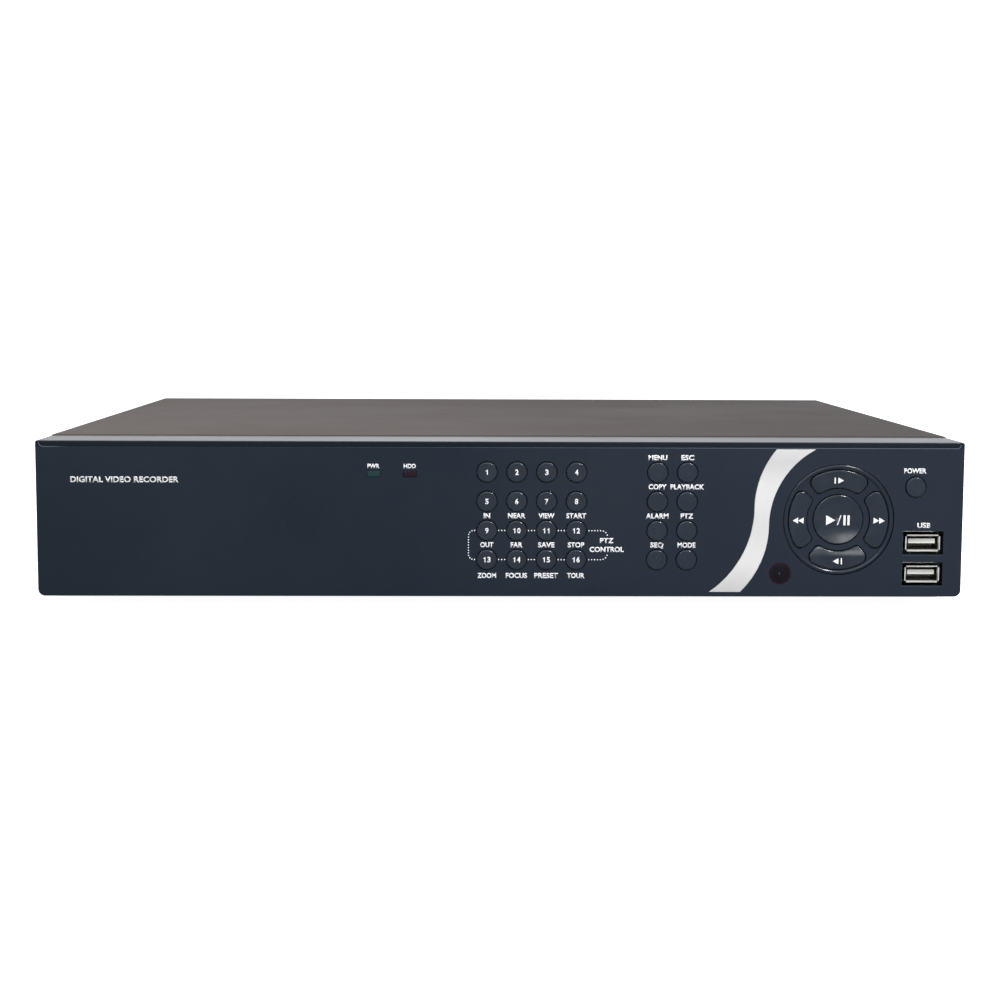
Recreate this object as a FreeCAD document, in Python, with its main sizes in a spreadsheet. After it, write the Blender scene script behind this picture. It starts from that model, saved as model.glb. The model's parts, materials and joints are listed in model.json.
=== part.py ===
import FreeCAD, Part
import math
import os

import Sketcher
from FreeCAD import Placement, Rotation, Vector

# A sixteen channel video recorder: a flat steel box with a moulded front full of keys, and a
# rear panel of sockets.  Millimetres; +Z is up, the front faces -Y and +X is to the right of
# someone who faces it.  The origin is the middle of the bounding box, at the feet's underside.

doc = FreeCAD.newDocument("Recorder")
sheet_of_sizes = doc.addObject("Spreadsheet::Sheet", "Sizes")
size_names = []
nodes = []


# ---------------------------------------------------------------- sizes and small helpers

class Dim:
    """A size: its number now, and the expression that keeps it tied to the spreadsheet."""

    def __init__(self, number, text):
        self.number = float(number)
        self.text = text

    def __add__(self, other):
        other = dim(other)
        return Dim(self.number + other.number, f"({self.text} + {other.text})")

    def __sub__(self, other):
        other = dim(other)
        return Dim(self.number - other.number, f"({self.text} - {other.text})")

    def __mul__(self, factor):
        factor = dim(factor)
        return Dim(self.number * factor.number, f"({self.text} * {factor.text})")

    def __truediv__(self, divisor):
        divisor = dim(divisor)
        return Dim(self.number / divisor.number, f"({self.text} / {divisor.text})")

    def __radd__(self, other):
        return dim(other) + self

    def __rsub__(self, other):
        return dim(other) - self

    def __rmul__(self, other):
        return dim(other) * self

    def __neg__(self):
        return Dim(-self.number, f"(-1 * {self.text})")


def dim(value):
    """Any plain number or Dim, as a Dim."""
    if isinstance(value, Dim):
        return value
    return Dim(value, f"({float(value)!r})")


def size(name, number):
    """One driving dimension, written once, in its own named cell."""
    size_names.append(name)
    row = len(size_names)
    sheet_of_sizes.set(f"A{row}", name)
    sheet_of_sizes.set(f"B{row}", str(number))
    sheet_of_sizes.setAlias(f"B{row}", name)
    return Dim(number, f"Sizes.{name}")


def bind(thing, prop, value):
    """Ties a property to the sheet."""
    thing.setExpression(prop, dim(value).text)


def place(thing, x=0, y=0, z=0):
    """Ties an object's position to the sheet and leaves its rotation alone."""
    bind(thing, "Placement.Base.x", x)
    bind(thing, "Placement.Base.y", y)
    bind(thing, "Placement.Base.z", z)
    return thing


def node(thing, label):
    """Makes an object one of the recorder's own pieces."""
    thing.Label = label
    nodes.append(thing)
    return thing


def block(name, xs, ys, zs):
    """A box between two values on each axis."""
    box = doc.addObject("Part::Box", name)
    bind(box, "Length", xs[1] - xs[0])
    bind(box, "Width", ys[1] - ys[0])
    bind(box, "Height", zs[1] - zs[0])
    return place(box, xs[0], ys[0], zs[0])


def around(middle, width):
    """The two ends of a width about its middle."""
    return (middle - width / 2, middle + width / 2)


AXIS_TURNS = {
    "x": Rotation(Vector(0, 1, 0), 90),
    "y": Rotation(Vector(1, 0, 0), -90),
    "z": Rotation(),
}


def rod(name, radius, length, axis, x=0, y=0, z=0):
    """A cylinder that starts at a point and runs along +X, +Y or +Z."""
    cylinder = doc.addObject("Part::Cylinder", name)
    cylinder.Placement = Placement(Vector(), AXIS_TURNS[axis])
    bind(cylinder, "Radius", radius)
    bind(cylinder, "Height", length)
    return place(cylinder, x, y, z)


def cut(name, base, tool):
    """The base with the tool's space taken out."""
    result = doc.addObject("Part::Cut", name)
    result.Base = base
    result.Tool = tool
    return result


def fuse(name, pieces):
    """Several touching shapes as one solid."""
    result = doc.addObject("Part::MultiFuse", name)
    result.Shapes = pieces
    return result


def group(name, pieces):
    """Several separate solids that share one node."""
    result = doc.addObject("Part::Compound", name)
    result.Links = pieces
    return result


def copy_of(original, name, x=0, y=0, z=0, turn=None):
    """Another of the same piece, set down somewhere else."""
    link = doc.addObject("App::Link", name)
    link.LinkedObject = original
    link.LinkTransform = True
    if turn is not None:
        link.Placement = Placement(Vector(), turn)
    return place(link, x, y, z)


def new_body(name):
    return doc.addObject("PartDesign::Body", name)


def origin_part(body, role):
    """One of a body's own origin planes or axes."""
    for feature in body.Origin.OriginFeatures:
        if feature.Role == role:
            return feature
    raise ValueError(f"no {role} in {body.Name}")


def sketch_on(body, role, name, offset=0):
    """A sketch on an origin plane, moved along the plane's normal."""
    sketch = body.newObject("Sketcher::SketchObject", name)
    sketch.AttachmentSupport = [(origin_part(body, role), "")]
    sketch.MapMode = "FlatFace"
    bind(sketch, "AttachmentOffset.Base.z", offset)
    return sketch


def fix_point(sketch, geometry, position, u, v):
    """Holds one point of a sketch at two sizes measured from the sketch's origin."""
    for kind, value in (("DistanceX", u), ("DistanceY", v)):
        value = dim(value)
        number = sketch.addConstraint(Sketcher.Constraint(kind, geometry, position, value.number))
        sketch.setExpression(f"Constraints[{number}]", value.text)


def fix_radius(sketch, geometry, radius):
    number = sketch.addConstraint(Sketcher.Constraint("Radius", geometry, dim(radius).number))
    sketch.setExpression(f"Constraints[{number}]", dim(radius).text)


def circle(sketch, u, v, radius):
    u, v, radius = dim(u), dim(v), dim(radius)
    shape = Part.Circle(Vector(u.number, v.number, 0), Vector(0, 0, 1), radius.number)
    geometry = sketch.addGeometry(shape)
    fix_point(sketch, geometry, 3, u, v)
    fix_radius(sketch, geometry, radius)


def arc_between(start, end, radius, turn):
    """The short arc from start to end; turn is +1 anticlockwise and -1 clockwise."""
    middle = (start + end) * 0.5
    chord = end - start
    rise = math.sqrt(max(radius ** 2 - (chord.Length / 2) ** 2, 0))
    sideways = Vector(-chord.y, chord.x, 0).normalize()
    centre = middle + sideways * (rise * turn)
    angles = [math.atan2(point.y - centre.y, point.x - centre.x) for point in (start, end)]
    if turn < 0:
        angles.reverse()
    full_circle = Part.Circle(centre, Vector(0, 0, 1), radius)
    return Part.ArcOfCircle(full_circle, angles[0], angles[1])


def path(sketch, points, closed=True):
    """Lines and arcs through points; a point with a radius and a turn starts an arc."""
    count = len(points) if closed else len(points) - 1
    pieces = []
    for index in range(count):
        here = points[index]
        there = points[(index + 1) % len(points)]
        start = Vector(dim(here[0]).number, dim(here[1]).number, 0)
        end = Vector(dim(there[0]).number, dim(there[1]).number, 0)
        backwards = False
        if len(here) > 2:
            shape = arc_between(start, end, dim(here[2]).number, here[3])
            backwards = here[3] < 0
        else:
            shape = Part.LineSegment(start, end)
        geometry = sketch.addGeometry(shape)
        pieces.append((geometry, 2 if backwards else 1, 1 if backwards else 2))
        fix_point(sketch, geometry, pieces[-1][1], here[0], here[1])
        if len(here) > 2:
            fix_radius(sketch, geometry, here[2])
    for index in range(count):
        following = (index + 1) % len(points)
        if following < count:
            geometry, _, last = pieces[index]
            next_geometry, first, _ = pieces[following]
            joint = Sketcher.Constraint("Coincident", geometry, last, next_geometry, first)
            sketch.addConstraint(joint)
        else:
            fix_point(sketch, pieces[index][0], pieces[index][2], *points[following][:2])


def rectangle(sketch, us, vs):
    path(sketch, [(us[0], vs[0]), (us[1], vs[0]), (us[1], vs[1]), (us[0], vs[1])])


def pad(body, sketch, length, reverse=False):
    """Adds a sketch's area to a body, along the sketch's normal or against it."""
    feature = body.newObject("PartDesign::Pad", f"{sketch.Name}_pad")
    feature.Profile = sketch
    feature.Reversed = reverse
    bind(feature, "Length", length)
    doc.recompute()
    return feature


def pocket(body, sketch, length, reverse=False, midplane=False):
    """Takes a sketch's area out of a body, and makes sure that something was taken."""
    before = body.Shape.Volume
    feature = body.newObject("PartDesign::Pocket", f"{sketch.Name}_cut")
    feature.Profile = sketch
    feature.Reversed = reverse
    feature.Midplane = midplane
    bind(feature, "Length", length)
    doc.recompute()
    if body.Shape.Volume > before - 1e-6:
        raise RuntimeError(f"{feature.Name} cuts nothing")
    return feature


def revolve(body, sketch, axis, angle=360, cutting=False):
    """Turns a sketch's area about one of the body's axes, equally to both sides."""
    before = body.Shape.Volume if cutting else 0
    kind = "PartDesign::Groove" if cutting else "PartDesign::Revolution"
    feature = body.newObject(kind, f"{sketch.Name}_turned")
    feature.Profile = sketch
    feature.ReferenceAxis = (origin_part(body, axis), [""])
    feature.Midplane = True
    bind(feature, "Angle", angle)
    doc.recompute()
    if cutting and body.Shape.Volume > before - 1e-6:
        raise RuntimeError(f"{feature.Name} cuts nothing")
    return feature


def soften(body, base, radius, chosen):
    """Rounds the edges of a feature that a test picks out."""
    names = [f"Edge{index + 1}" for index, edge in enumerate(base.Shape.Edges) if chosen(edge)]
    if not names:
        raise RuntimeError(f"no edges to round on {base.Name}")
    feature = body.newObject("PartDesign::Fillet", f"{base.Name}_rounded")
    feature.Base = (base, names)
    bind(feature, "Radius", radius)
    doc.recompute()
    return feature


def break_edges(body, base, width, chosen):
    """Chamfers the edges of a feature that a test picks out."""
    names = [f"Edge{index + 1}" for index, edge in enumerate(base.Shape.Edges) if chosen(edge)]
    if not names:
        raise RuntimeError(f"no edges to break on {base.Name}")
    feature = body.newObject("PartDesign::Chamfer", f"{base.Name}_broken")
    feature.Base = (base, names)
    bind(feature, "Size", width)
    doc.recompute()
    return feature


def runs_along(edge, axis):
    """True for a straight edge parallel to x, y or z."""
    if not isinstance(edge.Curve, Part.Line):
        return False
    return abs(abs(getattr(edge.Curve.Direction, axis)) - 1) < 1e-6


def middle_of(edge):
    return edge.BoundBox.Center


def near(value, target):
    return abs(value - dim(target).number) < 0.02


# ---------------------------------------------------------------- driving sizes

# The box.
body_width = size("body_width", 380)
body_height = size("body_height", 64.2)
body_depth = size("body_depth", 320)
foot_height = size("foot_height", 4.5)
foot_radius = size("foot_radius", 10)
foot_inset = size("foot_inset", 28)
steel = size("steel", 1.0)
fit_gap = size("fit_gap", 0.2)
bend_radius = size("bend_radius", 1.6)

# The moulded front.
bezel_depth = size("bezel_depth", 30)
bezel_wall = size("bezel_wall", 2.5)
bezel_step = size("bezel_step", 0.4)
bezel_low_round = size("bezel_low_round", 2.8)
bezel_high_round = size("bezel_high_round", 0.9)
bezel_edge_round = size("bezel_edge_round", 0.4)
tab_side = size("tab_side", 150)
tab_width = size("tab_width", 14)
tab_thick = size("tab_thick", 1.6)
tab_root = size("tab_root", 5)
tab_reach = size("tab_reach", 6)
tab_room = size("tab_room", 0.3)
line_top = size("line_top", 2.15)
line_height = size("line_height", 0.45)
line_deep = size("line_deep", 0.4)
line_end = size("line_end", 1.3)
line_turn = size("line_turn", 1.9)
hole_edge = size("hole_edge", 0.28)
hem_round = size("hem_round", 0.35)

# Keys; distances are from the front's right-hand edge and from its top.
key_pitch = size("key_pitch", 12.0)
key_top = size("key_top", 12.5)
number_right = size("number_right", 195.7)
number_pitch = size("number_pitch", 12.2)
function_right = size("function_right", 125.9)
function_pitch = size("function_pitch", 12.2)
power_right = size("power_right", 19.8)
power_top = size("power_top", 18.3)
key_radius = size("key_radius", 4.05)
key_gap = size("key_gap", 0.22)
key_proud = size("key_proud", 0.5)
key_round = size("key_round", 0.45)
key_travel = size("key_travel", 0.6)
flange_gap = size("flange_gap", 0.05)
flange_lip = size("flange_lip", 1.1)
flange_thick = size("flange_thick", 0.9)
stem_radius = size("stem_radius", 1.4)

# The round control pad.
pad_right = size("pad_right", 51.2)
pad_middle = size("pad_middle", 31.9)
pad_radius = size("pad_radius", 22.9)
pad_rim = size("pad_rim", 2.0)
pad_bead = size("pad_bead", 0.54)
pad_bead_root = size("pad_bead_root", 0.35)
pad_sink = size("pad_sink", 0.9)
pad_slope = size("pad_slope", 0.9)
arrow_outer = size("arrow_outer", 20.5)
arrow_inner = size("arrow_inner", 13.1)
arrow_half_angle = size("arrow_half_angle", 39)
arrow_round = size("arrow_round", 3.0)
arrow_inner_round = size("arrow_inner_round", 2.2)
arrow_proud = size("arrow_proud", 0.6)
centre_radius = size("centre_radius", 10.2)
centre_hollow = size("centre_hollow", 0.5)
pad_gap = size("pad_gap", 0.35)
pad_gap_angle = size("pad_gap_angle", 1.2)

# The silver stripe: each side is two arcs that meet upright at a turning point, whose height
# and radii are shares of the front's height.
stripe_top = size("stripe_top", 2.9)
stripe_base = size("stripe_base", 1.95)
stripe_deep = size("stripe_deep", 1.2)
stripe_proud = size("stripe_proud", 0.15)
stripe_gap = size("stripe_gap", 0.08)
stripe_left = size("stripe_left", 86.0)
stripe_left_turn = size("stripe_left_turn", 0.575)
stripe_left_upper = size("stripe_left_upper", 0.596)
stripe_left_lower = size("stripe_left_lower", 0.661)
stripe_right = size("stripe_right", 79.9)
stripe_right_turn = size("stripe_right_turn", 0.461)
stripe_right_upper = size("stripe_right_upper", 0.560)
stripe_right_lower = size("stripe_right_lower", 0.605)

# Windows.
window_right = size("window_right", 75.0)
window_middle = size("window_middle", 9.7)
window_radius = size("window_radius", 4.4)
window_rise = size("window_rise", 0.35)
lamp_width = size("lamp_width", 5.4)
lamp_height = size("lamp_height", 2.4)
lamp_top = size("lamp_top", 13.4)
power_lamp_right = size("power_lamp_right", 242.0)
drive_lamp_right = size("drive_lamp_right", 227.2)

# Serial sockets on the front.
port_right = size("port_right", 16.1)
port_upper = size("port_upper", 22.3)
port_lower = size("port_lower", 9.4)
port_well_width = size("port_well_width", 16.7)
port_well_height = size("port_well_height", 9.6)
port_inside_width = size("port_inside_width", 12.5)
port_inside_height = size("port_inside_height", 5.12)
port_metal = size("port_metal", 0.35)
port_flare = size("port_flare", 0.55)
port_flare_deep = size("port_flare_deep", 1.3)
port_sunk = size("port_sunk", 0.9)
tongue_width = size("tongue_width", 11.1)
tongue_thick = size("tongue_thick", 1.84)
tongue_drop = size("tongue_drop", 0.6)
tongue_sunk = size("tongue_sunk", 2.2)

# Circuit boards and switches.
board_thick = size("board_thick", 1.6)
front_board_deep = size("front_board_deep", 15)
front_board_edge = size("front_board_edge", 5)
switch_side = size("switch_side", 6.0)
switch_high = size("switch_high", 3.5)
switch_bore = size("switch_bore", 1.6)
plunger_radius = size("plunger_radius", 1.5)
plunger_out = size("plunger_out", 1.0)
plunger_in = size("plunger_in", 0.6)
boss_radius = size("boss_radius", 3.0)
screw_radius = size("screw_radius", 1.5)
screw_room = size("screw_room", 0.1)
screw_head = size("screw_head", 2.8)
screw_head_high = size("screw_head_high", 1.7)
screw_length = size("screw_length", 6.0)
standoff_high = size("standoff_high", 8)
standoff_radius = size("standoff_radius", 3.2)

# The steel parts.
flange_high = size("flange_high", 14)
lip_high = size("lip_high", 9)
panel_screw_low = size("panel_screw_low", 4.4)
wall_vent = size("wall_vent", 80)
slot_high = size("slot_high", 16)
slot_wide = size("slot_wide", 3)
slot_pitch = size("slot_pitch", 7)
slot_first = size("slot_first", 60)
slot_low = size("slot_low", 26)

# Rear sockets.
jack_reach = size("jack_reach", 11)
jack_radius = size("jack_radius", 4.8)
jack_bore = size("jack_bore", 4.05)
jack_nut = size("jack_nut", 7.0)
jack_nut_thick = size("jack_nut_thick", 2.2)
jack_pitch = size("jack_pitch", 14.4)
jack_row = size("jack_row", 18)
jack_side = size("jack_side", 17.5)
jack_block = size("jack_block", 12.6)
sound_radius = size("sound_radius", 4.15)
sound_bore = size("sound_bore", 1.65)
sound_reach = size("sound_reach", 8.5)
sound_side = size("sound_side", 148.5)
sound_pitch = size("sound_pitch", 14.5)
screen_side = size("screen_side", 189)
screen_width = size("screen_width", 31)
screen_height = size("screen_height", 12.5)
network_side = size("network_side", 215.5)
network_width = size("network_width", 16)
network_height = size("network_height", 13.6)
network_deep = size("network_deep", 16)
terminal_side = size("terminal_side", 246)
terminal_pitch = size("terminal_pitch", 3.9)
terminal_high = size("terminal_high", 11)
terminal_deep = size("terminal_deep", 12)
fan_side = size("fan_side", 293)
fan_square = size("fan_square", 40)
fan_thick = size("fan_thick", 10)
fan_middle = size("fan_middle", 27)
fan_hole_pitch = size("fan_hole_pitch", 32)
fan_shaft = size("fan_shaft", 1.0)
shaft_room = size("shaft_room", 0.04)
inlet_side = size("inlet_side", 345)
inlet_middle = size("inlet_middle", 29)
inlet_flange_width = size("inlet_flange_width", 50)
inlet_flange_height = size("inlet_flange_height", 24)
inlet_body_width = size("inlet_body_width", 28)
inlet_body_height = size("inlet_body_height", 20.4)
inlet_well_width = size("inlet_well_width", 24.4)
inlet_well_height = size("inlet_well_height", 16.8)
inlet_well_deep = size("inlet_well_deep", 16)
inlet_deep = size("inlet_deep", 19)

# What is inside.
board_side = size("board_side", 6)
board_wide = size("board_wide", 257)
board_long = size("board_long", 190)
drive_wide = size("drive_wide", 101.6)
drive_long = size("drive_long", 147)
drive_high = size("drive_high", 26.1)
drive_right = size("drive_right", 7)
drive_front = size("drive_front", 12)
supply_wide = size("supply_wide", 98)
supply_long = size("supply_long", 84)
supply_rear = size("supply_rear", 22)
lead_left = size("lead_left", 85)
lead_width = size("lead_width", 20)
lead_high = size("lead_high", 32)
lead_window = size("lead_window", 22)
lead_half = size("lead_half", 0.6)
lead_bend = size("lead_bend", 6)
lead_back = size("lead_back", 40)
disk_lead_width = size("disk_lead_width", 8)
disk_lead_run = size("disk_lead_run", 36)

# ---------------------------------------------------------------- shared places

front_y = -(body_depth + jack_reach - key_proud) / 2
rear_y = front_y + body_depth
seam_y = front_y + bezel_depth
panel_y = rear_y - steel
low_z = foot_height
half_width = body_width / 2
right_x = half_width - bezel_step
bezel_high = body_height - bezel_step
floor_z = low_z + steel
under_cover = body_height - steel - fit_gap
pan_half = half_width - steel - fit_gap
board_top = floor_z + standoff_high + board_thick
pad_x = right_x - pad_right
window_x = right_x - window_right
port_x = right_x - port_right
lamp_z = bezel_high - lamp_top
lead_x = pad_x - lead_left
power_lamp_x = right_x - power_lamp_right
drive_lamp_x = right_x - drive_lamp_right
switch_front = front_board_deep - switch_high
stem_end = switch_front - plunger_out
FUNCTION_KEYS = (
    ("key_menu", "key_escape"),
    ("key_copy", "key_playback"),
    ("key_alarm", "key_camera"),
    ("key_sequence", "key_mode"),
)
ARROW_KEYS = (
    ("key_step_forward", 0),
    ("key_fast_forward", 90),
    ("key_step_back", 180),
    ("key_rewind", 270),
)


def round_key_spots():
    """Name and place of every round key, measured on the front's own face."""
    spots = []
    for row in range(4):
        height = bezel_high - key_top - row * key_pitch
        for column in range(4):
            across = right_x - number_right + column * number_pitch
            spots.append((f"key_{4 * row + column + 1}", across, height))
        for column in range(2):
            across = right_x - function_right + column * function_pitch
            spots.append((FUNCTION_KEYS[row][column], across, height))
    spots.append(("key_power", right_x - power_right, bezel_high - power_top))
    return spots


def arrow_spots():
    """The middle of each arrow key's stem, on the front's own face."""
    reach = (arrow_outer + arrow_inner) / 2
    spots = []
    for label, angle in ARROW_KEYS:
        across = round(math.sin(math.radians(angle)))
        upward = round(math.cos(math.radians(angle)))
        spots.append((label, pad_x + across * reach, pad_middle + upward * reach))
    return spots


def board_fixings():
    """Where the front board is screwed to the bezel."""
    left = power_lamp_x - lamp_width / 2 - boss_radius - 2
    middle = right_x - function_right - 14
    right = pad_x + pad_radius + 5
    low = bezel_wall + 5
    high = bezel_high - bezel_wall - 5
    return [(left, low), (left, high), (middle, low), (middle, high), (right, high)]


def tab_spots():
    """The tongues on the front's rear rim that hook into the base's front wall."""
    high = bezel_high - bezel_wall
    spots = []
    for side in (-1, 1):
        across = side * tab_side
        spots.append((across, high - tab_thick, high))
        spots.append((across, bezel_wall, bezel_wall + tab_thick))
    return spots


# ---------------------------------------------------------------- the moulded front

def stripe_outline(sketch, gap):
    """The S-shaped stripe; a gap makes it wider all round."""
    top = dim(bezel_high - stripe_top + gap)
    base = dim(stripe_base - gap)
    sides = (
        (right_x - stripe_left - gap, bezel_high * stripe_left_turn,
         bezel_high * stripe_left_upper + gap, bezel_high * stripe_left_lower - gap),
        (right_x - stripe_right + gap, bezel_high * stripe_right_turn,
         bezel_high * stripe_right_upper - gap, bezel_high * stripe_right_lower + gap),
    )
    ends = []
    for across, turn, upper, lower in sides:
        across, turn, upper, lower = dim(across), dim(turn), dim(upper), dim(lower)
        rise = top.number - turn.number
        fall = turn.number - base.number
        upper_centre = Vector(across.number + upper.number, turn.number, 0)
        lower_centre = Vector(across.number - lower.number, turn.number, 0)
        upper_angle = math.pi - math.asin(rise / upper.number)
        lower_angle = -math.asin(fall / lower.number)
        above = Part.ArcOfCircle(Part.Circle(upper_centre, Vector(0, 0, 1), upper.number),
                                 upper_angle, math.pi)
        below = Part.ArcOfCircle(Part.Circle(lower_centre, Vector(0, 0, 1), lower.number),
                                 lower_angle, 0)
        above = sketch.addGeometry(above)
        below = sketch.addGeometry(below)
        fix_point(sketch, above, 3, across + upper, turn)
        fix_point(sketch, below, 3, across - lower, turn)
        fix_point(sketch, above, 2, across, turn)
        sketch.addConstraint(Sketcher.Constraint("Coincident", above, 2, below, 2))
        for geometry, height in ((above, top), (below, base)):
            number = sketch.addConstraint(
                Sketcher.Constraint("DistanceY", geometry, 1, height.number))
            sketch.setExpression(f"Constraints[{number}]", height.text)
        ends.append((above, below))
    for end in (0, 1):
        left, right = ends[0][end], ends[1][end]
        start = sketch.getPoint(left, 1)
        finish = sketch.getPoint(right, 1)
        line = sketch.addGeometry(Part.LineSegment(start, finish))
        sketch.addConstraint(Sketcher.Constraint("Coincident", line, 1, left, 1))
        sketch.addConstraint(Sketcher.Constraint("Coincident", line, 2, right, 1))


def make_bezel():
    """The moulded front: a deep tray with a hole for every key, window and socket."""
    body = new_body("bezel")
    place(body, 0, front_y, low_z)
    outline = sketch_on(body, "XZ_Plane", "bezel_outline")
    rectangle(outline, (-right_x, right_x), (dim(0), bezel_high))
    tray = pad(body, outline, bezel_depth, reverse=True)

    low = soften(body, tray, bezel_low_round,
                 lambda edge: runs_along(edge, "y") and near(middle_of(edge).z, 0))
    high = soften(body, low, bezel_high_round,
                  lambda edge: runs_along(edge, "y") and near(middle_of(edge).z, bezel_high))
    soften(body, high, bezel_edge_round, lambda edge: near(edge.BoundBox.YMax, 0))

    cavity = sketch_on(body, "XZ_Plane", "bezel_cavity", -bezel_depth)
    rectangle(cavity, (bezel_wall - right_x, right_x - bezel_wall),
              (bezel_wall, bezel_high - bezel_wall))
    pocket(body, cavity, bezel_depth - bezel_wall, reverse=True)

    bosses = sketch_on(body, "XZ_Plane", "bezel_bosses", -front_board_deep)
    for across, height in board_fixings():
        circle(bosses, across, height, boss_radius)
    pad(body, bosses, front_board_deep - bezel_wall / 2)
    pilots = sketch_on(body, "XZ_Plane", "bezel_pilots", -front_board_deep)
    for across, height in board_fixings():
        circle(pilots, across, height, screw_radius + screw_room / 2)
    pocket(body, pilots, front_board_deep - bezel_wall, reverse=True)

    tabs = sketch_on(body, "XZ_Plane", "bezel_tabs", tab_root - bezel_depth)
    for across, low_end, high_end in tab_spots():
        rectangle(tabs, around(across, tab_width), (low_end, high_end))
    pad(body, tabs, tab_root + tab_reach, reverse=True)

    line = sketch_on(body, "XZ_Plane", "bezel_line")
    line_low = bezel_high - line_top - line_height
    line_out = right_x - line_end
    inner_turn = line_turn - line_height
    bend_x = line_out - line_turn
    bend_z = line_low + line_turn
    path(line, [(-bend_x, line_low), (bend_x, line_low, line_turn, 1), (line_out, bend_z),
                (line_out, bezel_high), (line_out - line_height, bezel_high),
                (line_out - line_height, bend_z, inner_turn, -1),
                (bend_x, line_low + line_height), (-bend_x, line_low + line_height, inner_turn, -1),
                (line_height - line_out, bend_z), (line_height - line_out, bezel_high),
                (-line_out, bezel_high), (-line_out, bend_z, line_turn, 1)])
    pocket(body, line, line_deep)

    recess = sketch_on(body, "XZ_Plane", "stripe_recess")
    stripe_outline(recess, stripe_gap)
    pocket(body, recess, stripe_deep)

    holes = sketch_on(body, "XZ_Plane", "front_holes")
    for _, across, height in round_key_spots():
        circle(holes, across, height, key_radius + key_gap)
    circle(holes, pad_x, pad_middle, pad_radius)
    circle(holes, window_x, window_middle, window_radius + stripe_gap)
    for across in (power_lamp_x, drive_lamp_x):
        rectangle(holes, around(across, lamp_width + 2 * stripe_gap),
                  around(lamp_z, lamp_height + 2 * stripe_gap))
    for height in (port_upper, port_lower):
        rectangle(holes, around(port_x, port_well_width), around(height, port_well_height))
    cleared = pocket(body, holes, bezel_wall)
    break_edges(body, cleared, hole_edge,
                lambda edge: near(edge.BoundBox.YMax, 0) and near(edge.BoundBox.YMin, 0)
                and (rims_key_hole(edge) or in_port_well(edge)))
    return node(body, "front_bezel")


def rims_key_hole(edge):
    """True for a round edge as large as a key's hole."""
    return isinstance(edge.Curve, Part.Circle) and near(edge.Curve.Radius, key_radius + key_gap)


def in_port_well(edge):
    """True for an edge on the rim of a front socket's well."""
    middle = middle_of(edge)
    return (abs(middle.x - dim(port_x).number) < dim(port_well_width).number * 0.51
            and any(abs(middle.z - dim(height).number) < dim(port_well_height).number * 0.51
                    for height in (port_upper, port_lower)))


def make_stripe():
    """The bright S-shaped inlay, a little proud of the face."""
    body = new_body("stripe")
    place(body, 0, front_y, low_z)
    outline = sketch_on(body, "XZ_Plane", "stripe_outline", stripe_proud)
    stripe_outline(outline, 0)
    inlay = pad(body, outline, stripe_deep + stripe_proud, reverse=True)
    soften(body, inlay, stripe_proud * 0.9, lambda edge: near(edge.BoundBox.YMax, -stripe_proud))
    return node(body, "silver_stripe")


def sector(sketch, deep_outer, deep_inner, back, outer, inner):
    """A ring's section whose front slopes, as depth against radius."""
    path(sketch, [(deep_outer, outer), (deep_inner, inner), (back, inner), (back, outer)])


def from_axis(edge):
    """Distance of an edge's middle from the pad's axis."""
    middle = middle_of(edge)
    return math.hypot(middle.x, middle.z)


def round_corners(body, base):
    """Rounds an arrow key's corners, or its hole's: broad outside and tight inside."""
    half_way = ((arrow_outer + arrow_inner) / 2).number
    outside = soften(body, base, arrow_round,
                     lambda edge: runs_along(edge, "y") and from_axis(edge) > half_way)
    return soften(body, outside, arrow_inner_round,
                  lambda edge: runs_along(edge, "y") and edge.Length > 0.2
                  and near(from_axis(edge), inner_corner(edge)))


def inner_corner(edge):
    """The radius at which an edge is an inner corner: the smaller of the two it can have."""
    distance = from_axis(edge)
    limits = (arrow_inner.number, (arrow_inner - pad_gap).number)
    return min(limits, key=lambda limit: abs(limit - distance))


def slope_at(radius):
    """Depth of the pad's dished floor at a radius."""
    run = pad_radius - pad_rim - centre_radius
    return pad_sink + pad_slope * (pad_radius - pad_rim - radius) / run


def make_pad_ring():
    """The dished ring round the arrow keys, with a hole for each."""
    body = new_body("ring")
    place(body, pad_x, front_y, low_z + pad_middle)
    section = sketch_on(body, "YZ_Plane", "ring_section")
    lip = pad_radius + 1.6
    hole = centre_radius + pad_gap
    back = bezel_wall + 1.2
    edge = pad_radius - pad_gap
    path(section, [(pad_bead_root, edge, pad_rim * pad_bead, 1), (pad_sink, pad_radius - pad_rim),
                   (slope_at(hole), hole), (back, hole), (back, lip), (bezel_wall, lip),
                   (bezel_wall, edge)])
    revolve(body, section, "Y_Axis")
    opening = sketch_on(body, "YZ_Plane", "ring_opening")
    sector(opening, dim(-1), dim(-1), back + 1, arrow_outer + pad_gap, arrow_inner - pad_gap)
    cutter = revolve(body, opening, "Y_Axis", 2 * (arrow_half_angle + pad_gap_angle), True)
    repeated = body.newObject("PartDesign::PolarPattern", "ring_openings")
    repeated.Originals = [cutter]
    repeated.Axis = (origin_part(body, "Y_Axis"), [""])
    repeated.Angle = 360
    repeated.Occurrences = len(ARROW_KEYS)
    body.Tip = repeated
    doc.recompute()
    round_corners(body, repeated)
    return node(body, "pad_ring")


def dome_radius(radius, rise):
    """The sphere whose cap has this radius and this rise."""
    return (radius * radius + rise * rise) / (2 * rise)


def make_window():
    """The receiver's dark red window, slightly domed."""
    body = new_body("window")
    place(body, window_x, front_y, low_z + window_middle)
    section = sketch_on(body, "YZ_Plane", "window_section")
    lip = window_radius + 1
    path(section, [(-window_rise, dim(0), dome_radius(window_radius, window_rise), -1),
                   (dim(0), window_radius),
                   (bezel_wall + flange_gap, window_radius), (bezel_wall + flange_gap, lip),
                   (bezel_wall + 1, lip), (bezel_wall + 1, dim(0))])
    revolve(body, section, "Y_Axis")
    return node(body, "ir_window")


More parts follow.
